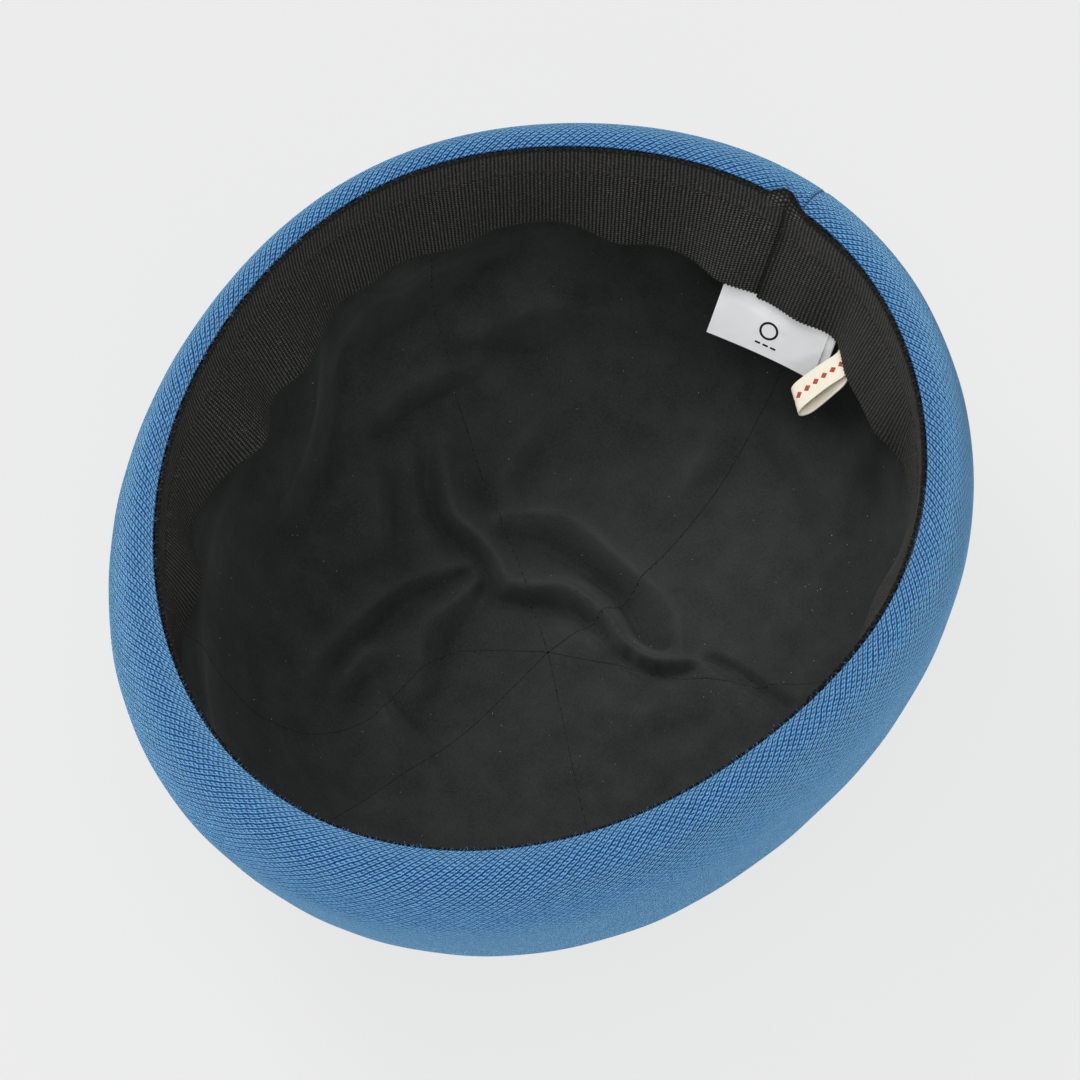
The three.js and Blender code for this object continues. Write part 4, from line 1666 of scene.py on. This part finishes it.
@dataclass
class Lining:
    """Six wedges of black cotton that lie in loose folds on the crown."""

    form: CapForm
    crown_wall: float = 1.6
    gap_to_crown: float = 0.5
    wall: float = 0.8
    seam_radius: float = 0.26
    gap: float = 0.05
    least: float = 0.3
    folds_end: Pair = (146.0, 122.0)
    loose_end: Pair = (146.0, 98.0)
    swell: float = 0.14
    swells_from: Pair = (4.0, 20.0)
    middle: float = 0.3
    start_down: float = 3.1
    rows: int = 170
    row_changes: tuple[int, int, int] = (0, 100, 112)
    row_steps: Triple = (0.72, 0.72, 1.45)
    columns: int = 84
    stitch: Stitch = Stitch(2.6, 1.3, 0.5, 0.16)
    stitched: Triple = (3.0, 128.0, 0.8)
    stitch_sunk: float = 0.06
    drape: Drape = field(default_factory=Drape)

    def stand(self, angle: Array, distance: Array) -> Array:
        """How far the lining stands off the crown.

        Args:
            angle: Directions in degrees.
            distance: Distances from the middle.

        Returns:
            The height at each place.
        """
        turn = np.radians(angle)
        x, y = distance * np.cos(turn), distance * np.sin(turn)
        swells = sum(np.sin(x / row.x + y / row.y + row.start) for row in LINING_SWELLS)
        folds = self.drape.sample(x, y) - self.drape.base
        folds = folds + self.swell * swells * smooth(*self.swells_from, distance)
        loose = (self.drape.base - self.least) * smooth(*self.loose_end, distance)
        return self.least + np.maximum(0.0, loose + folds * smooth(*self.folds_end, distance))

    def over(self, angle: Array, distance: Array, height: float) -> Array:
        """Points over the lining's face at a height, in metres."""
        inset = self.crown_wall + self.gap_to_crown + self.wall + height + self.stand(angle, distance)
        return self.form.place(self.form.inside(angle, distance, inset))

    def wedge(self, k: int, material: Material) -> Piece:
        """Builds one wedge.

        Args:
            k: Its number, from 0.
            material: The cotton.

        Returns:
            The piece.
        """
        form = self.form
        end = form.hem_distance + form.cuff_height - self.start_down
        step = np.interp(np.arange(self.rows - 1), self.row_changes, self.row_steps)
        distance = np.concatenate([[0.0], np.cumsum(step)]) * (end - self.middle) / step.sum()
        distance = self.middle + distance
        seam, turn = next_seam(k)
        first = lining_seam(SEAMS[k], distance)
        wedge = lay_out(form, first, lining_seam(seam, distance) + turn - first, distance, self.gap,
                        self.columns, self.seam_radius)
        inset = self.crown_wall + self.gap_to_crown + self.stand(wedge.angle, wedge.far)
        back = form.inside(wedge.angle, wedge.far, inset)
        face = form.inside(wedge.angle, wedge.far, inset + self.wall - wedge.dip)
        piece = cloth_shell(f"lining_cotton_{k + 1}", form.place(face), form.place(back), wedge.cloth)
        turn = np.radians(wedge.angle)
        hollow = self.drape.hollow_at(wedge.far * np.cos(turn), wedge.far * np.sin(turn))
        attribute = piece.data.attributes.new("hollow", "FLOAT", "POINT")
        attribute.data.foreach_set("value", np.tile(hollow.ravel(), 2).astype(np.float32))
        wear(piece, material, Slot.LINING, f"lining_panel_{k + 1}")
        return piece

    def stitches(self, k: int, thread: Material) -> Piece:
        """Builds the stitches that close one seam.

        Args:
            k: The seam's number.
            thread: The thread's material.

        Returns:
            The piece.
        """
        distance = np.arange(*self.stitched)
        angle = lining_seam(SEAMS[k], distance)
        points = self.over(angle, distance, -self.stitch_sunk)
        up = unit(self.over(angle, distance, 1.0 - self.stitch_sunk) - points)
        piece = self.stitch.sew(f"lining_stitches_{k + 1}", points, up, thread)
        wear(piece, thread, Slot.LINING)
        return piece

    def build(self, material: Material, thread: Material) -> list[Piece]:
        """Builds all six wedges and the stitches of their seams."""
        wedges = [self.wedge(k, material) for k in range(len(SEAMS))]
        return wedges + [self.stitches(k, thread) for k in range(len(SEAMS))]


@dataclass
class Sweatband:
    """The black ribbed band, sewn at the rim, its free edge in waves."""

    form: CapForm
    girth: float = 578.0
    width: float = 32.0
    wall: float = 0.9
    out: float = -0.45
    top: float = 0.2
    bend_at: tuple[float, ...] = (0.0, 0.28, 0.6, 1.0)
    bend: tuple[float, ...] = (0.0, 0.1, 0.5, 1.0)
    join: float = 86.0
    lap: float = 6.0
    lap_turn: Pair = (350.0, 359.0)
    lap_height: Pair = (0.5, 0.58)
    lap_grows: float = 5.0
    sunk_at: float = 311.0
    sunk_within: Pair = (95.0, 45.0)
    sunk: float = 1.8
    tuck_at: tuple[float, ...] = (88.4, 90.2, 92.4, 93.6, 96.0)
    tuck_out: tuple[float, ...] = (0.0, 0.7, 2.2, 2.1, 0.0)
    tuck_depth: float = 2.6
    tuck_raise: float = 1.1
    tuck_raise_depth: float = 4.5
    crease_down: float = 10.0
    crease_depth: float = 0.22
    crease_width: float = 0.8
    edge_round: float = 0.5
    edge_wall: float = 0.25
    top_rows: tuple[float, ...] = (0.0, 0.18, 0.5, 1.1, 2.4, 4.6, 7.0)
    crease_rows: tuple[float, ...] = (9.1, 10.0, 10.9)
    low_rows: tuple[float, ...] = (13.5, 17.0, 20.5, 24.0, 27.5, 30.0, 31.4, 31.85, 32.0)
    rib: float = 1.0
    rib_rise: float = 0.06
    ribs_from: float = 0.6
    columns_per_rib: int = 4
    line_step: float = 0.5
    loop: Stitch = Stitch(1.0, 0.78, 0.85, 0.8)
    loop_past_edge: float = 0.15
    stitch: Stitch = Stitch(3.1, 2.4, 0.32, 0.28)
    stitch_lift: float = 0.12
    edge_fibres: Fibres = Fibres(0.24, 0.75, 0.05, 0.40, 1.4, 7)
    edge_fibres_down: float = 0.35
    crease_fibres: Fibres = Fibres(0.5, 1.1, 0.03, 1.0, 2.4, 19)
    crease_fibres_up: float = 0.7
    crease_fibres_sunk: float = 0.1

    def lean(self, angle: Array) -> Array:
        """How far the free edge leans towards the head.

        Args:
            angle: Directions in degrees.

        Returns:
            The lean.
        """
        first, second = BAND_WAVES[:2]
        at = [row.at for row in BAND_WAVES] + [360 + first.at, 360 + second.at]
        lean = [row.lean for row in BAND_WAVES] + [first.lean, second.lean]
        return curve_through(at, lean, np.mod(angle, 360.0))

    def spot(self, angle: Array, part: Array) -> tuple[Array, Array]:
        """Place down the band.

        Args:
            angle: Directions in degrees.
            part: Share of the band's width, from the rim.

        Returns:
            The distance inwards, and the depth.
        """
        lean = self.lean(angle)
        share = curve_through(self.bend_at, self.bend, part)
        return lean * share, part * np.sqrt(self.width**2 - lean**2) - self.top

    def face(self, angle: Array, down: Array, extra: Array) -> Array:
        """Points on the band.

        Args:
            angle: Directions in degrees.
            down: Distances down the band.
            extra: Height off the band's back.

        Returns:
            The points, from the rim's centre.
        """
        inward, depth = self.spot(angle, down / self.width)
        least, more = self.lap_height
        lap = (least + more * smooth(0, self.lap_grows, down)) * smooth(*self.lap_turn, angle - self.join)
        turn = np.mod(angle, 360.0)
        depth = depth + self.sunk * smooth(*self.sunk_within, np.abs(turn - self.sunk_at))
        tuck = np.interp(turn, self.tuck_at, self.tuck_out)
        raised = self.tuck_raise * tuck * smooth(self.tuck_raise_depth, 0, down)
        tuck = tuck * smooth(self.tuck_depth, 0, down)
        return self.form.beside_rim(angle, self.out - inward - lap - extra + tuck, depth - raised)

    def build(self, material: Material) -> Piece:
        """Builds the band and its ribs.

        Args:
            material: The grosgrain.

        Returns:
            The piece.
        """
        form = self.form
        length = self.girth * (360 + self.lap) / 360
        count = int(length / self.rib) * self.columns_per_rib
        angle = (self.join + (360 + self.lap) * np.linspace(0, 1, count + 1))[:, None]
        down = np.array(self.top_rows + self.crease_rows + self.low_rows) * np.ones_like(angle)
        edge = np.minimum(down, self.width - down)
        curl = np.sqrt(1 - (1 - np.clip(edge / self.edge_round, 0, 1)) ** 2)
        thin = self.wall * (self.edge_wall + (1 - self.edge_wall) * curl)
        crease = self.crease_depth * np.exp(-(((down - self.crease_down) / self.crease_width) ** 2))
        back = self.face(angle, down, (self.wall - thin) / 2)
        front = self.face(angle, down, (self.wall + thin) / 2 - crease)
        u = np.linspace(0, length, count + 1)[:, None] * np.ones_like(down)
        cloth = np.stack([u, down], -1) * MM
        base = cloth_shell("band_base", form.place(front), form.place(back), cloth)
        place = np.zeros((2, *u.shape, 3), np.float32)
        place[..., 0] = u * MM
        place[..., 1] = down * MM
        place[..., 2] = smooth(0.0, self.ribs_from, edge)
        attribute = base.data.attributes.new("place", "FLOAT_VECTOR", "POINT")
        attribute.data.foreach_set("vector", place.ravel())
        piece = run_nodes(base, rib_tree(material), {"pitch": self.rib * MM, "rise": self.rib_rise * MM},
                          "sweatband_ribbed")
        wear(piece, material, Slot.BAND, "sweatband")
        return piece

    def line(self, down: float, extra: float) -> tuple[Array, Array]:
        """A line round the band.

        Args:
            down: Distance down the band.
            extra: Height off the band's back.

        Returns:
            Its points in metres, and the directions off the cloth.
        """
        angle = np.arange(self.join, self.join + 360 + self.lap, self.line_step)
        points = self.face(angle, np.full_like(angle, down), extra)
        low = self.face(angle, np.full_like(angle, down + 0.5), extra)
        run = np.gradient(points, axis=0)
        up = unit(np.cross(run, low - points))
        up *= -np.sign((up[:, :2] * points[:, :2]).sum(1, keepdims=True))
        return self.form.place(points), up

    def trim(self, thread: Material) -> list[Piece]:
        """Builds the loops of the free edge and the stitches below the rim.

        Args:
            thread: The thread's material.

        Returns:
            The pieces.
        """
        below, over = self.width + self.loop_past_edge, self.wall - self.crease_depth + self.stitch_lift
        loops = self.loop.sew("sweatband_edge_loops", *self.line(below, self.wall / 2), thread)
        stitches = self.stitch.sew("sweatband_stitches", *self.line(self.crease_down, over), thread)
        for piece in (loops, stitches):
            wear(piece, thread, Slot.BAND)
        return [loops, stitches]

    def fuzz(self, thread: Material, pale: Material) -> list[Piece]:
        """Builds the loose fibres of the band's top edge and the curled ones beside its crease.

        Args:
            thread: Material of the fibres at the edge.
            pale: Material of the fibres beside the crease.

        Returns:
            The pieces.
        """
        points, _ = self.line(self.edge_fibres_down, self.wall / 2)
        up = np.tile([0.0, 0.0, 1.0], (len(points), 1))
        edge = self.edge_fibres.grow("sweatband_fuzz", points, up, thread)
        wear(edge, thread, Slot.BAND)
        beside = self.line(self.crease_down - self.crease_fibres_up, self.wall - self.crease_fibres_sunk)
        curled = self.crease_fibres.grow("sweatband_crease_fibres", *beside, pale)
        wear(curled, pale, Slot.BAND)
        return [edge, curled]


@dataclass
class CareLabel:
    """The white satin label that hangs from behind the sweatband, with a ring and three dashes."""

    form: CapForm
    band: Sweatband
    start: float = 79.3
    end: float = 98.4
    fall_at: float = 96.0
    wall: float = 0.25
    behind_band: float = 0.3
    top_down: float = 12.0
    end_down: float = 47.0
    bend_down: float = 30.0
    slope: float = 0.45
    bow: float = 5.2
    settles: float = 7.0
    width: float = 30.5
    sewn_in: float = 2.0
    steps: tuple[int, int] = (61, 71)
    under_sides: Pair = (-0.056, 0.4)
    under_downs: Pair = (14.0, 45.8)
    under_lift: float = -0.6
    film: Pair = (0.07, 0.01)
    ring_at: Pair = (0.8, 39.6)
    ring_radius: float = 2.3
    ring_step: float = 6.0
    stroke: float = 0.6
    dashes_at: Pair = (1.2, 43.9)
    dash: Pair = (1.5, 0.5)
    dash_pitch: float = 2.2
    dash_count: int = 3

    def place(self, across: Array, down: Array, lift: float) -> Array:
        """Points on the label.

        Args:
            across: Share of the width, from the right as seen from inside.
            down: Depth below the rim.
            lift: Height off the printed face.

        Returns:
            The points, from the rim's centre.
        """
        angle = self.start + (self.end - self.start) * across
        bent = np.minimum(down, self.bend_down)
        inward = self.band.spot(angle, bent / self.band.width)[0]
        ends = [float(self.band.spot(np.array(a), self.bend_down / self.band.width)[0])
                for a in (self.start, self.end)]
        straight = ends[0] + (ends[1] - ends[0]) * across + self.bow * across * (1 - across)
        past = np.maximum(0.0, down - self.bend_down)
        inward = inward + (straight - inward) * smooth(self.bend_down, self.bend_down + self.settles, down)
        out = self.band.out + self.behind_band - inward - lift
        turn = math.radians(self.fall_at)
        fall = np.array([-self.slope * math.cos(turn), -self.slope * math.sin(turn), -1.0])
        return self.form.beside_rim(angle, out, bent) + past[..., None] * fall

    def ply(self, name: str, sides: Pair, downs: Pair, lift: float) -> Piece:
        """Builds one layer of the label.

        Args:
            name: The layer's name.
            sides: Shares of the width where it starts and ends.
            downs: Depths where it starts and ends.
            lift: Height of its face off the printed face.

        Returns:
            The piece.
        """
        spots = (np.linspace(*ends, count) for ends, count in zip((sides, downs), self.steps))
        across, down = np.meshgrid(*spots, indexing="ij")
        face = self.place(across, down, lift)
        back = self.place(across, down, lift - self.wall)
        cloth = np.stack([across * self.width, down], -1) * MM
        return cloth_shell(name, self.form.place(face), self.form.place(back), cloth)

    def printed(self, name: str, flat: Array, faces: Array, ink: Material) -> Piece:
        """Lays a flat figure on the label as a thin film of ink.

        Args:
            name: The piece's name.
            flat: Points to the right of the middle and down, in millimetres.
            faces: Three corner numbers for each face.
            ink: Its material.

        Returns:
            The piece.
        """
        across = 0.5 - flat[:, 0] / self.width
        layers = [self.form.place(self.place(across, flat[:, 1], lift)) for lift in self.film]
        count = len(flat)
        sides = np.concatenate([faces[:, [0, 1]], faces[:, [1, 2]], faces[:, [2, 0]]])
        known = {(int(a), int(b)) for a, b in sides}
        border = np.array([(a, b) for a, b in known if (b, a) not in known])
        walls = np.concatenate([np.stack([border[:, 1], border[:, 0], border[:, 0] + count], 1),
                                np.stack([border[:, 1], border[:, 0] + count, border[:, 1] + count], 1)])
        faces = np.concatenate([faces, faces[:, ::-1] + count, walls])
        piece = mesh_piece(name, np.concatenate(layers), faces)
        wear(piece, ink, Slot.SATIN)
        return piece

    def ring(self) -> tuple[Array, Array]:
        """A plain ring drawn as one line.

        Returns:
            Its points and faces.
        """
        turn = np.radians(np.arange(0, 360, self.ring_step))
        circle = np.stack([np.sin(turn), -np.cos(turn)], 1)
        radii = (self.ring_radius - self.stroke / 2, self.ring_radius + self.stroke / 2)
        points = [np.array(self.ring_at) + radius * circle for radius in radii]
        count = len(turn)
        here = np.arange(count)
        after = (here + 1) % count
        inner = np.stack([here, after, after + count], 1)
        outer = np.stack([here, after + count, here + count], 1)
        return np.concatenate(points), np.concatenate([inner, outer])

    def dashes(self) -> tuple[Array, Array]:
        """A short row of dashes.

        Returns:
            Their points and faces.
        """
        one = np.array([(-0.5, 0.5), (0.5, 0.5), (0.5, -0.5), (-0.5, -0.5)]) * self.dash
        points, faces = [], []
        for k in range(self.dash_count):
            middle = np.array(self.dashes_at) + ((k - (self.dash_count - 1) / 2) * self.dash_pitch, 0.0)
            points.append(middle + one)
            faces += [(4 * k, 4 * k + 1, 4 * k + 2), (4 * k, 4 * k + 2, 4 * k + 3)]
        return np.concatenate(points), np.array(faces)

    def build(self, satin: Material, ink: Material) -> list[Piece]:
        """Builds the label and its print.

        Args:
            satin: The label's material.
            ink: The print's material.

        Returns:
            The pieces.
        """
        piece = self.ply("care_label_satin", (0.0, 1.0), (self.top_down, self.end_down), 0.0)
        wear(piece, satin, Slot.SATIN, "care_label")
        under = self.ply("care_label_under_ply", self.under_sides, self.under_downs, self.under_lift)
        wear(under, satin, Slot.SATIN)
        return [piece, under, self.printed("care_label_ring", *self.ring(), ink),
                self.printed("care_label_dashes", *self.dashes(), ink)]


@dataclass
class LoopLabel:
    """The cream tape folded in half beside the white label."""

    form: CapForm
    width: float = 6.7
    wall: float = 0.36
    start: Triple = (21.7, 88.3, -33.6)
    end: Triple = (17.1, 78.3, -41.0)
    edge: Triple = (0.81, -0.585, 0.04)
    rows: int = 90
    columns: int = 15
    twisted: Pair = (6.0, 15.0)
    twist_out: float = 0.4
    fanned: Pair = (18.5, 26.0)
    fan_left: Pair = (4.0, 10.0)
    fan: float = 1.3

    def build(self, tape: Material) -> Piece:
        """Builds the tape.

        Args:
            tape: Its material.

        Returns:
            The piece.
        """
        section = np.array(LOOP_SECTION, float)
        length = np.concatenate([[0.0], np.cumsum(np.linalg.norm(np.diff(section, axis=0), axis=1))])
        at = np.linspace(0, length[-1], self.rows)
        forth, back = (curve_through(length, section[:, k], at)[:, None] for k in (0, 1))
        start = np.array(self.start)
        along = unit(np.array(self.end) - start)
        edge = np.array(self.edge)
        edge = unit(edge - along * float(edge @ along))
        path = start + forth * along + back * unit(np.cross(edge, along))
        normal = unit(np.cross(np.gradient(path, axis=0), edge))[:, None]
        side = np.linspace(0, self.width, self.columns)
        twist = smooth(*self.twisted, forth)[:, None] * (side / self.width)[None, :, None]
        fan = (smooth(*self.fanned, at) * smooth(*self.fan_left, length[-1] - at))[:, None, None]
        grid = path[:, None, :] + side[None, :, None] * edge
        grid = grid + twist * (along + self.twist_out * edge) + self.fan * fan * edge
        cloth = np.stack(np.broadcast_arrays(side - self.width / 2, at[:, None]), -1) * MM
        face, back = (self.form.place(grid + share * self.wall * normal) for share in (0.5, -0.5))
        piece = cloth_shell("loop_label_tape", face, back, cloth)
        wear(piece, tape, Slot.TAPE, "loop_label")
        return piece


@dataclass
class Lint:
    """Pale specks of dust on the lining."""

    lining: Lining
    count: int = 190
    reach: float = 118.0
    height: float = 0.05
    radius: float = 0.13
    least: Triple = (0.3, 0.3, 0.3)
    most: Triple = (1.3, 1.0, 0.9)
    seed: int = 11

    def build(self, dust: Material) -> Piece:
        """Builds the specks.

        Args:
            dust: Their material.

        Returns:
            The piece.
        """
        tree = GeometryTree("specks", dust, size=self.radius * MM, seed=self.seed)
        bead = tree.add("GeometryNodeMeshIcoSphere", {"Radius": 1.0, "Subdivisions": 2}).outputs[0]
        seed = tree.given["seed"]
        size = tree.scaled(tree.scatter(seed, self.least, self.most), tree.given["size"])
        turn = tree.scatter(tree.math("ADD", seed, 1.0), (0.0, 0.0, 0.0), (6.3, 6.3, 6.3))
        chance = np.random.default_rng(self.seed)
        angle = chance.uniform(0, 360, self.count)
        distance = self.reach * np.sqrt(chance.uniform(0.01, 1, self.count))
        points = self.lining.over(angle, distance, self.height)
        up = np.tile([0.0, 0.0, 1.0], (self.count, 1))
        specks = tree.set_out(tree.given["Geometry"], bead, turn, size)
        piece = run_nodes(line_piece(points, up), specks, {}, "lining_lint")
        wear(piece, dust, Slot.LINING)
        return piece


@dataclass
class Studio:
    """A pale floor, soft light and the camera."""

    floor_size: float = 4.0
    floor_drop: float = 0.0003
    floor_colour: tuple[float, ...] = (0.07, 0.07, 0.07, 1.0)
    floor_light: float = 0.75
    sky_colour: tuple[float, ...] = (0.96, 0.98, 1.0, 1.0)
    sky_light: float = 0.37
    lit: Triple = (0.0, 0.0, 0.06)
    sensor: float = 36.0
    distance: float = 1.1
    azimuth: float = 41.24
    elevation: float = 64.0
    aim: Triple = (-0.00067, 0.0013, 0.106)
    focal_pixels: float = 4647.1
    image_pixels: float = 1080.0
    aim_pixel: Pair = (536.2, 482.6)

    def lamp(self, row: Lamp) -> None:
        """Adds a square soft light that faces the cap.

        Args:
            row: Its place and size.
        """
        data = bpy.data.lights.new(row.name, "AREA")
        data.shape, data.size, data.energy = "SQUARE", row.size, row.power
        lamp = show(row.name, data)
        turn = math.radians(self.azimuth)
        lamp.location = Vector((row.right * math.cos(turn) + row.near * math.sin(turn),
                                row.right * math.sin(turn) - row.near * math.cos(turn), row.up))
        lamp.rotation_euler = (Vector(self.lit) - lamp.location).to_track_quat("-Z", "Y").to_euler()

    def build(self) -> None:
        """Builds the floor, the lights and the camera."""
        mesh = bpy.data.meshes.new("floor")
        half, low = self.floor_size / 2, -self.floor_drop
        mesh.from_pydata([(-half, -half, low), (half, -half, low), (half, half, low), (-half, half, low)],
                         [], [(0, 1, 2, 3)])
        floor = show("floor", mesh)
        paint = Surface("pale_floor")
        mesh.materials.append(paint.finish(Base_Color=self.floor_colour, Roughness=1.0,
                                           Specular_IOR_Level=0.0, Emission_Color=(1.0, 1.0, 1.0, 1.0),
                                           Emission_Strength=self.floor_light))
        floor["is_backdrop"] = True
        world = bpy.data.worlds.new("studio")
        world.use_nodes = True
        sky = world.node_tree.nodes["Background"]
        sky.inputs["Color"].default_value = self.sky_colour
        sky.inputs["Strength"].default_value = self.sky_light
        bpy.context.scene.world = world
        for row in LAMPS:
            self.lamp(row)
        bpy.context.scene.view_settings.view_transform = "Standard"
        self.camera()

    def camera(self) -> None:
        """Adds the camera at the photograph's angle."""
        data = bpy.data.cameras.new("camera")
        data.sensor_width = self.sensor
        data.lens = self.sensor * self.focal_pixels / self.image_pixels
        data.shift_x = (self.image_pixels / 2 - self.aim_pixel[0]) / self.image_pixels
        data.shift_y = (self.aim_pixel[1] - self.image_pixels / 2) / self.image_pixels
        data.clip_start, data.clip_end = 0.05, 20.0
        camera = show("camera", data)
        turn, rise = math.radians(self.azimuth), math.radians(self.elevation)
        back = Vector((math.sin(turn) * math.cos(rise), -math.cos(turn) * math.cos(rise), math.sin(rise)))
        camera.location = Vector(self.aim) + back * self.distance
        camera.rotation_euler = (-back).to_track_quat("-Z", "Y").to_euler()
        bpy.context.scene.camera = camera


def corners() -> list[list[float]]:
    """Lowest and highest corner of what is shown, as plain lists."""
    return [list(corner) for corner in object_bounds()]


def main() -> None:
    """Builds the studio and every piece of the cap."""
    logging.basicConfig(level=logging.INFO, format="%(name)s: %(message)s")
    LOG.info("the packed model has %d nodes", len(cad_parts))
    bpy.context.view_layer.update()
    Studio().build()
    form = CapForm()
    knit = PiqueKnit().material()
    Cuff(form).build(knit)
    CuffFuzz(form).build(Yarn("blue_fibre", (40, 96, 150), (92, 150, 200)).material())
    Crown(form).build(knit)
    lining = Lining(form)
    lining.build(CottonLining().material(), Yarn("lining_thread", (26, 27, 27), (46, 48, 47)).material())
    Lint(lining).build(Yarn("pale_lint", (120, 122, 120), (190, 192, 190)).material())
    band = Sweatband(form)
    band.build(RibbedBand().material())
    thread = Yarn("black_thread", (26, 25, 24), (58, 55, 51)).material()
    band.trim(thread)
    band.fuzz(thread, Yarn("grey_fibre", (60, 59, 55), (104, 102, 96)).material())
    ink = Yarn("black_ink", (18, 18, 20), (26, 26, 28)).material()
    CareLabel(form, band).build(SatinLabel().material(), ink)
    LoopLabel(form).build(WovenTape().material())


if __name__ == "__main__":
    main()
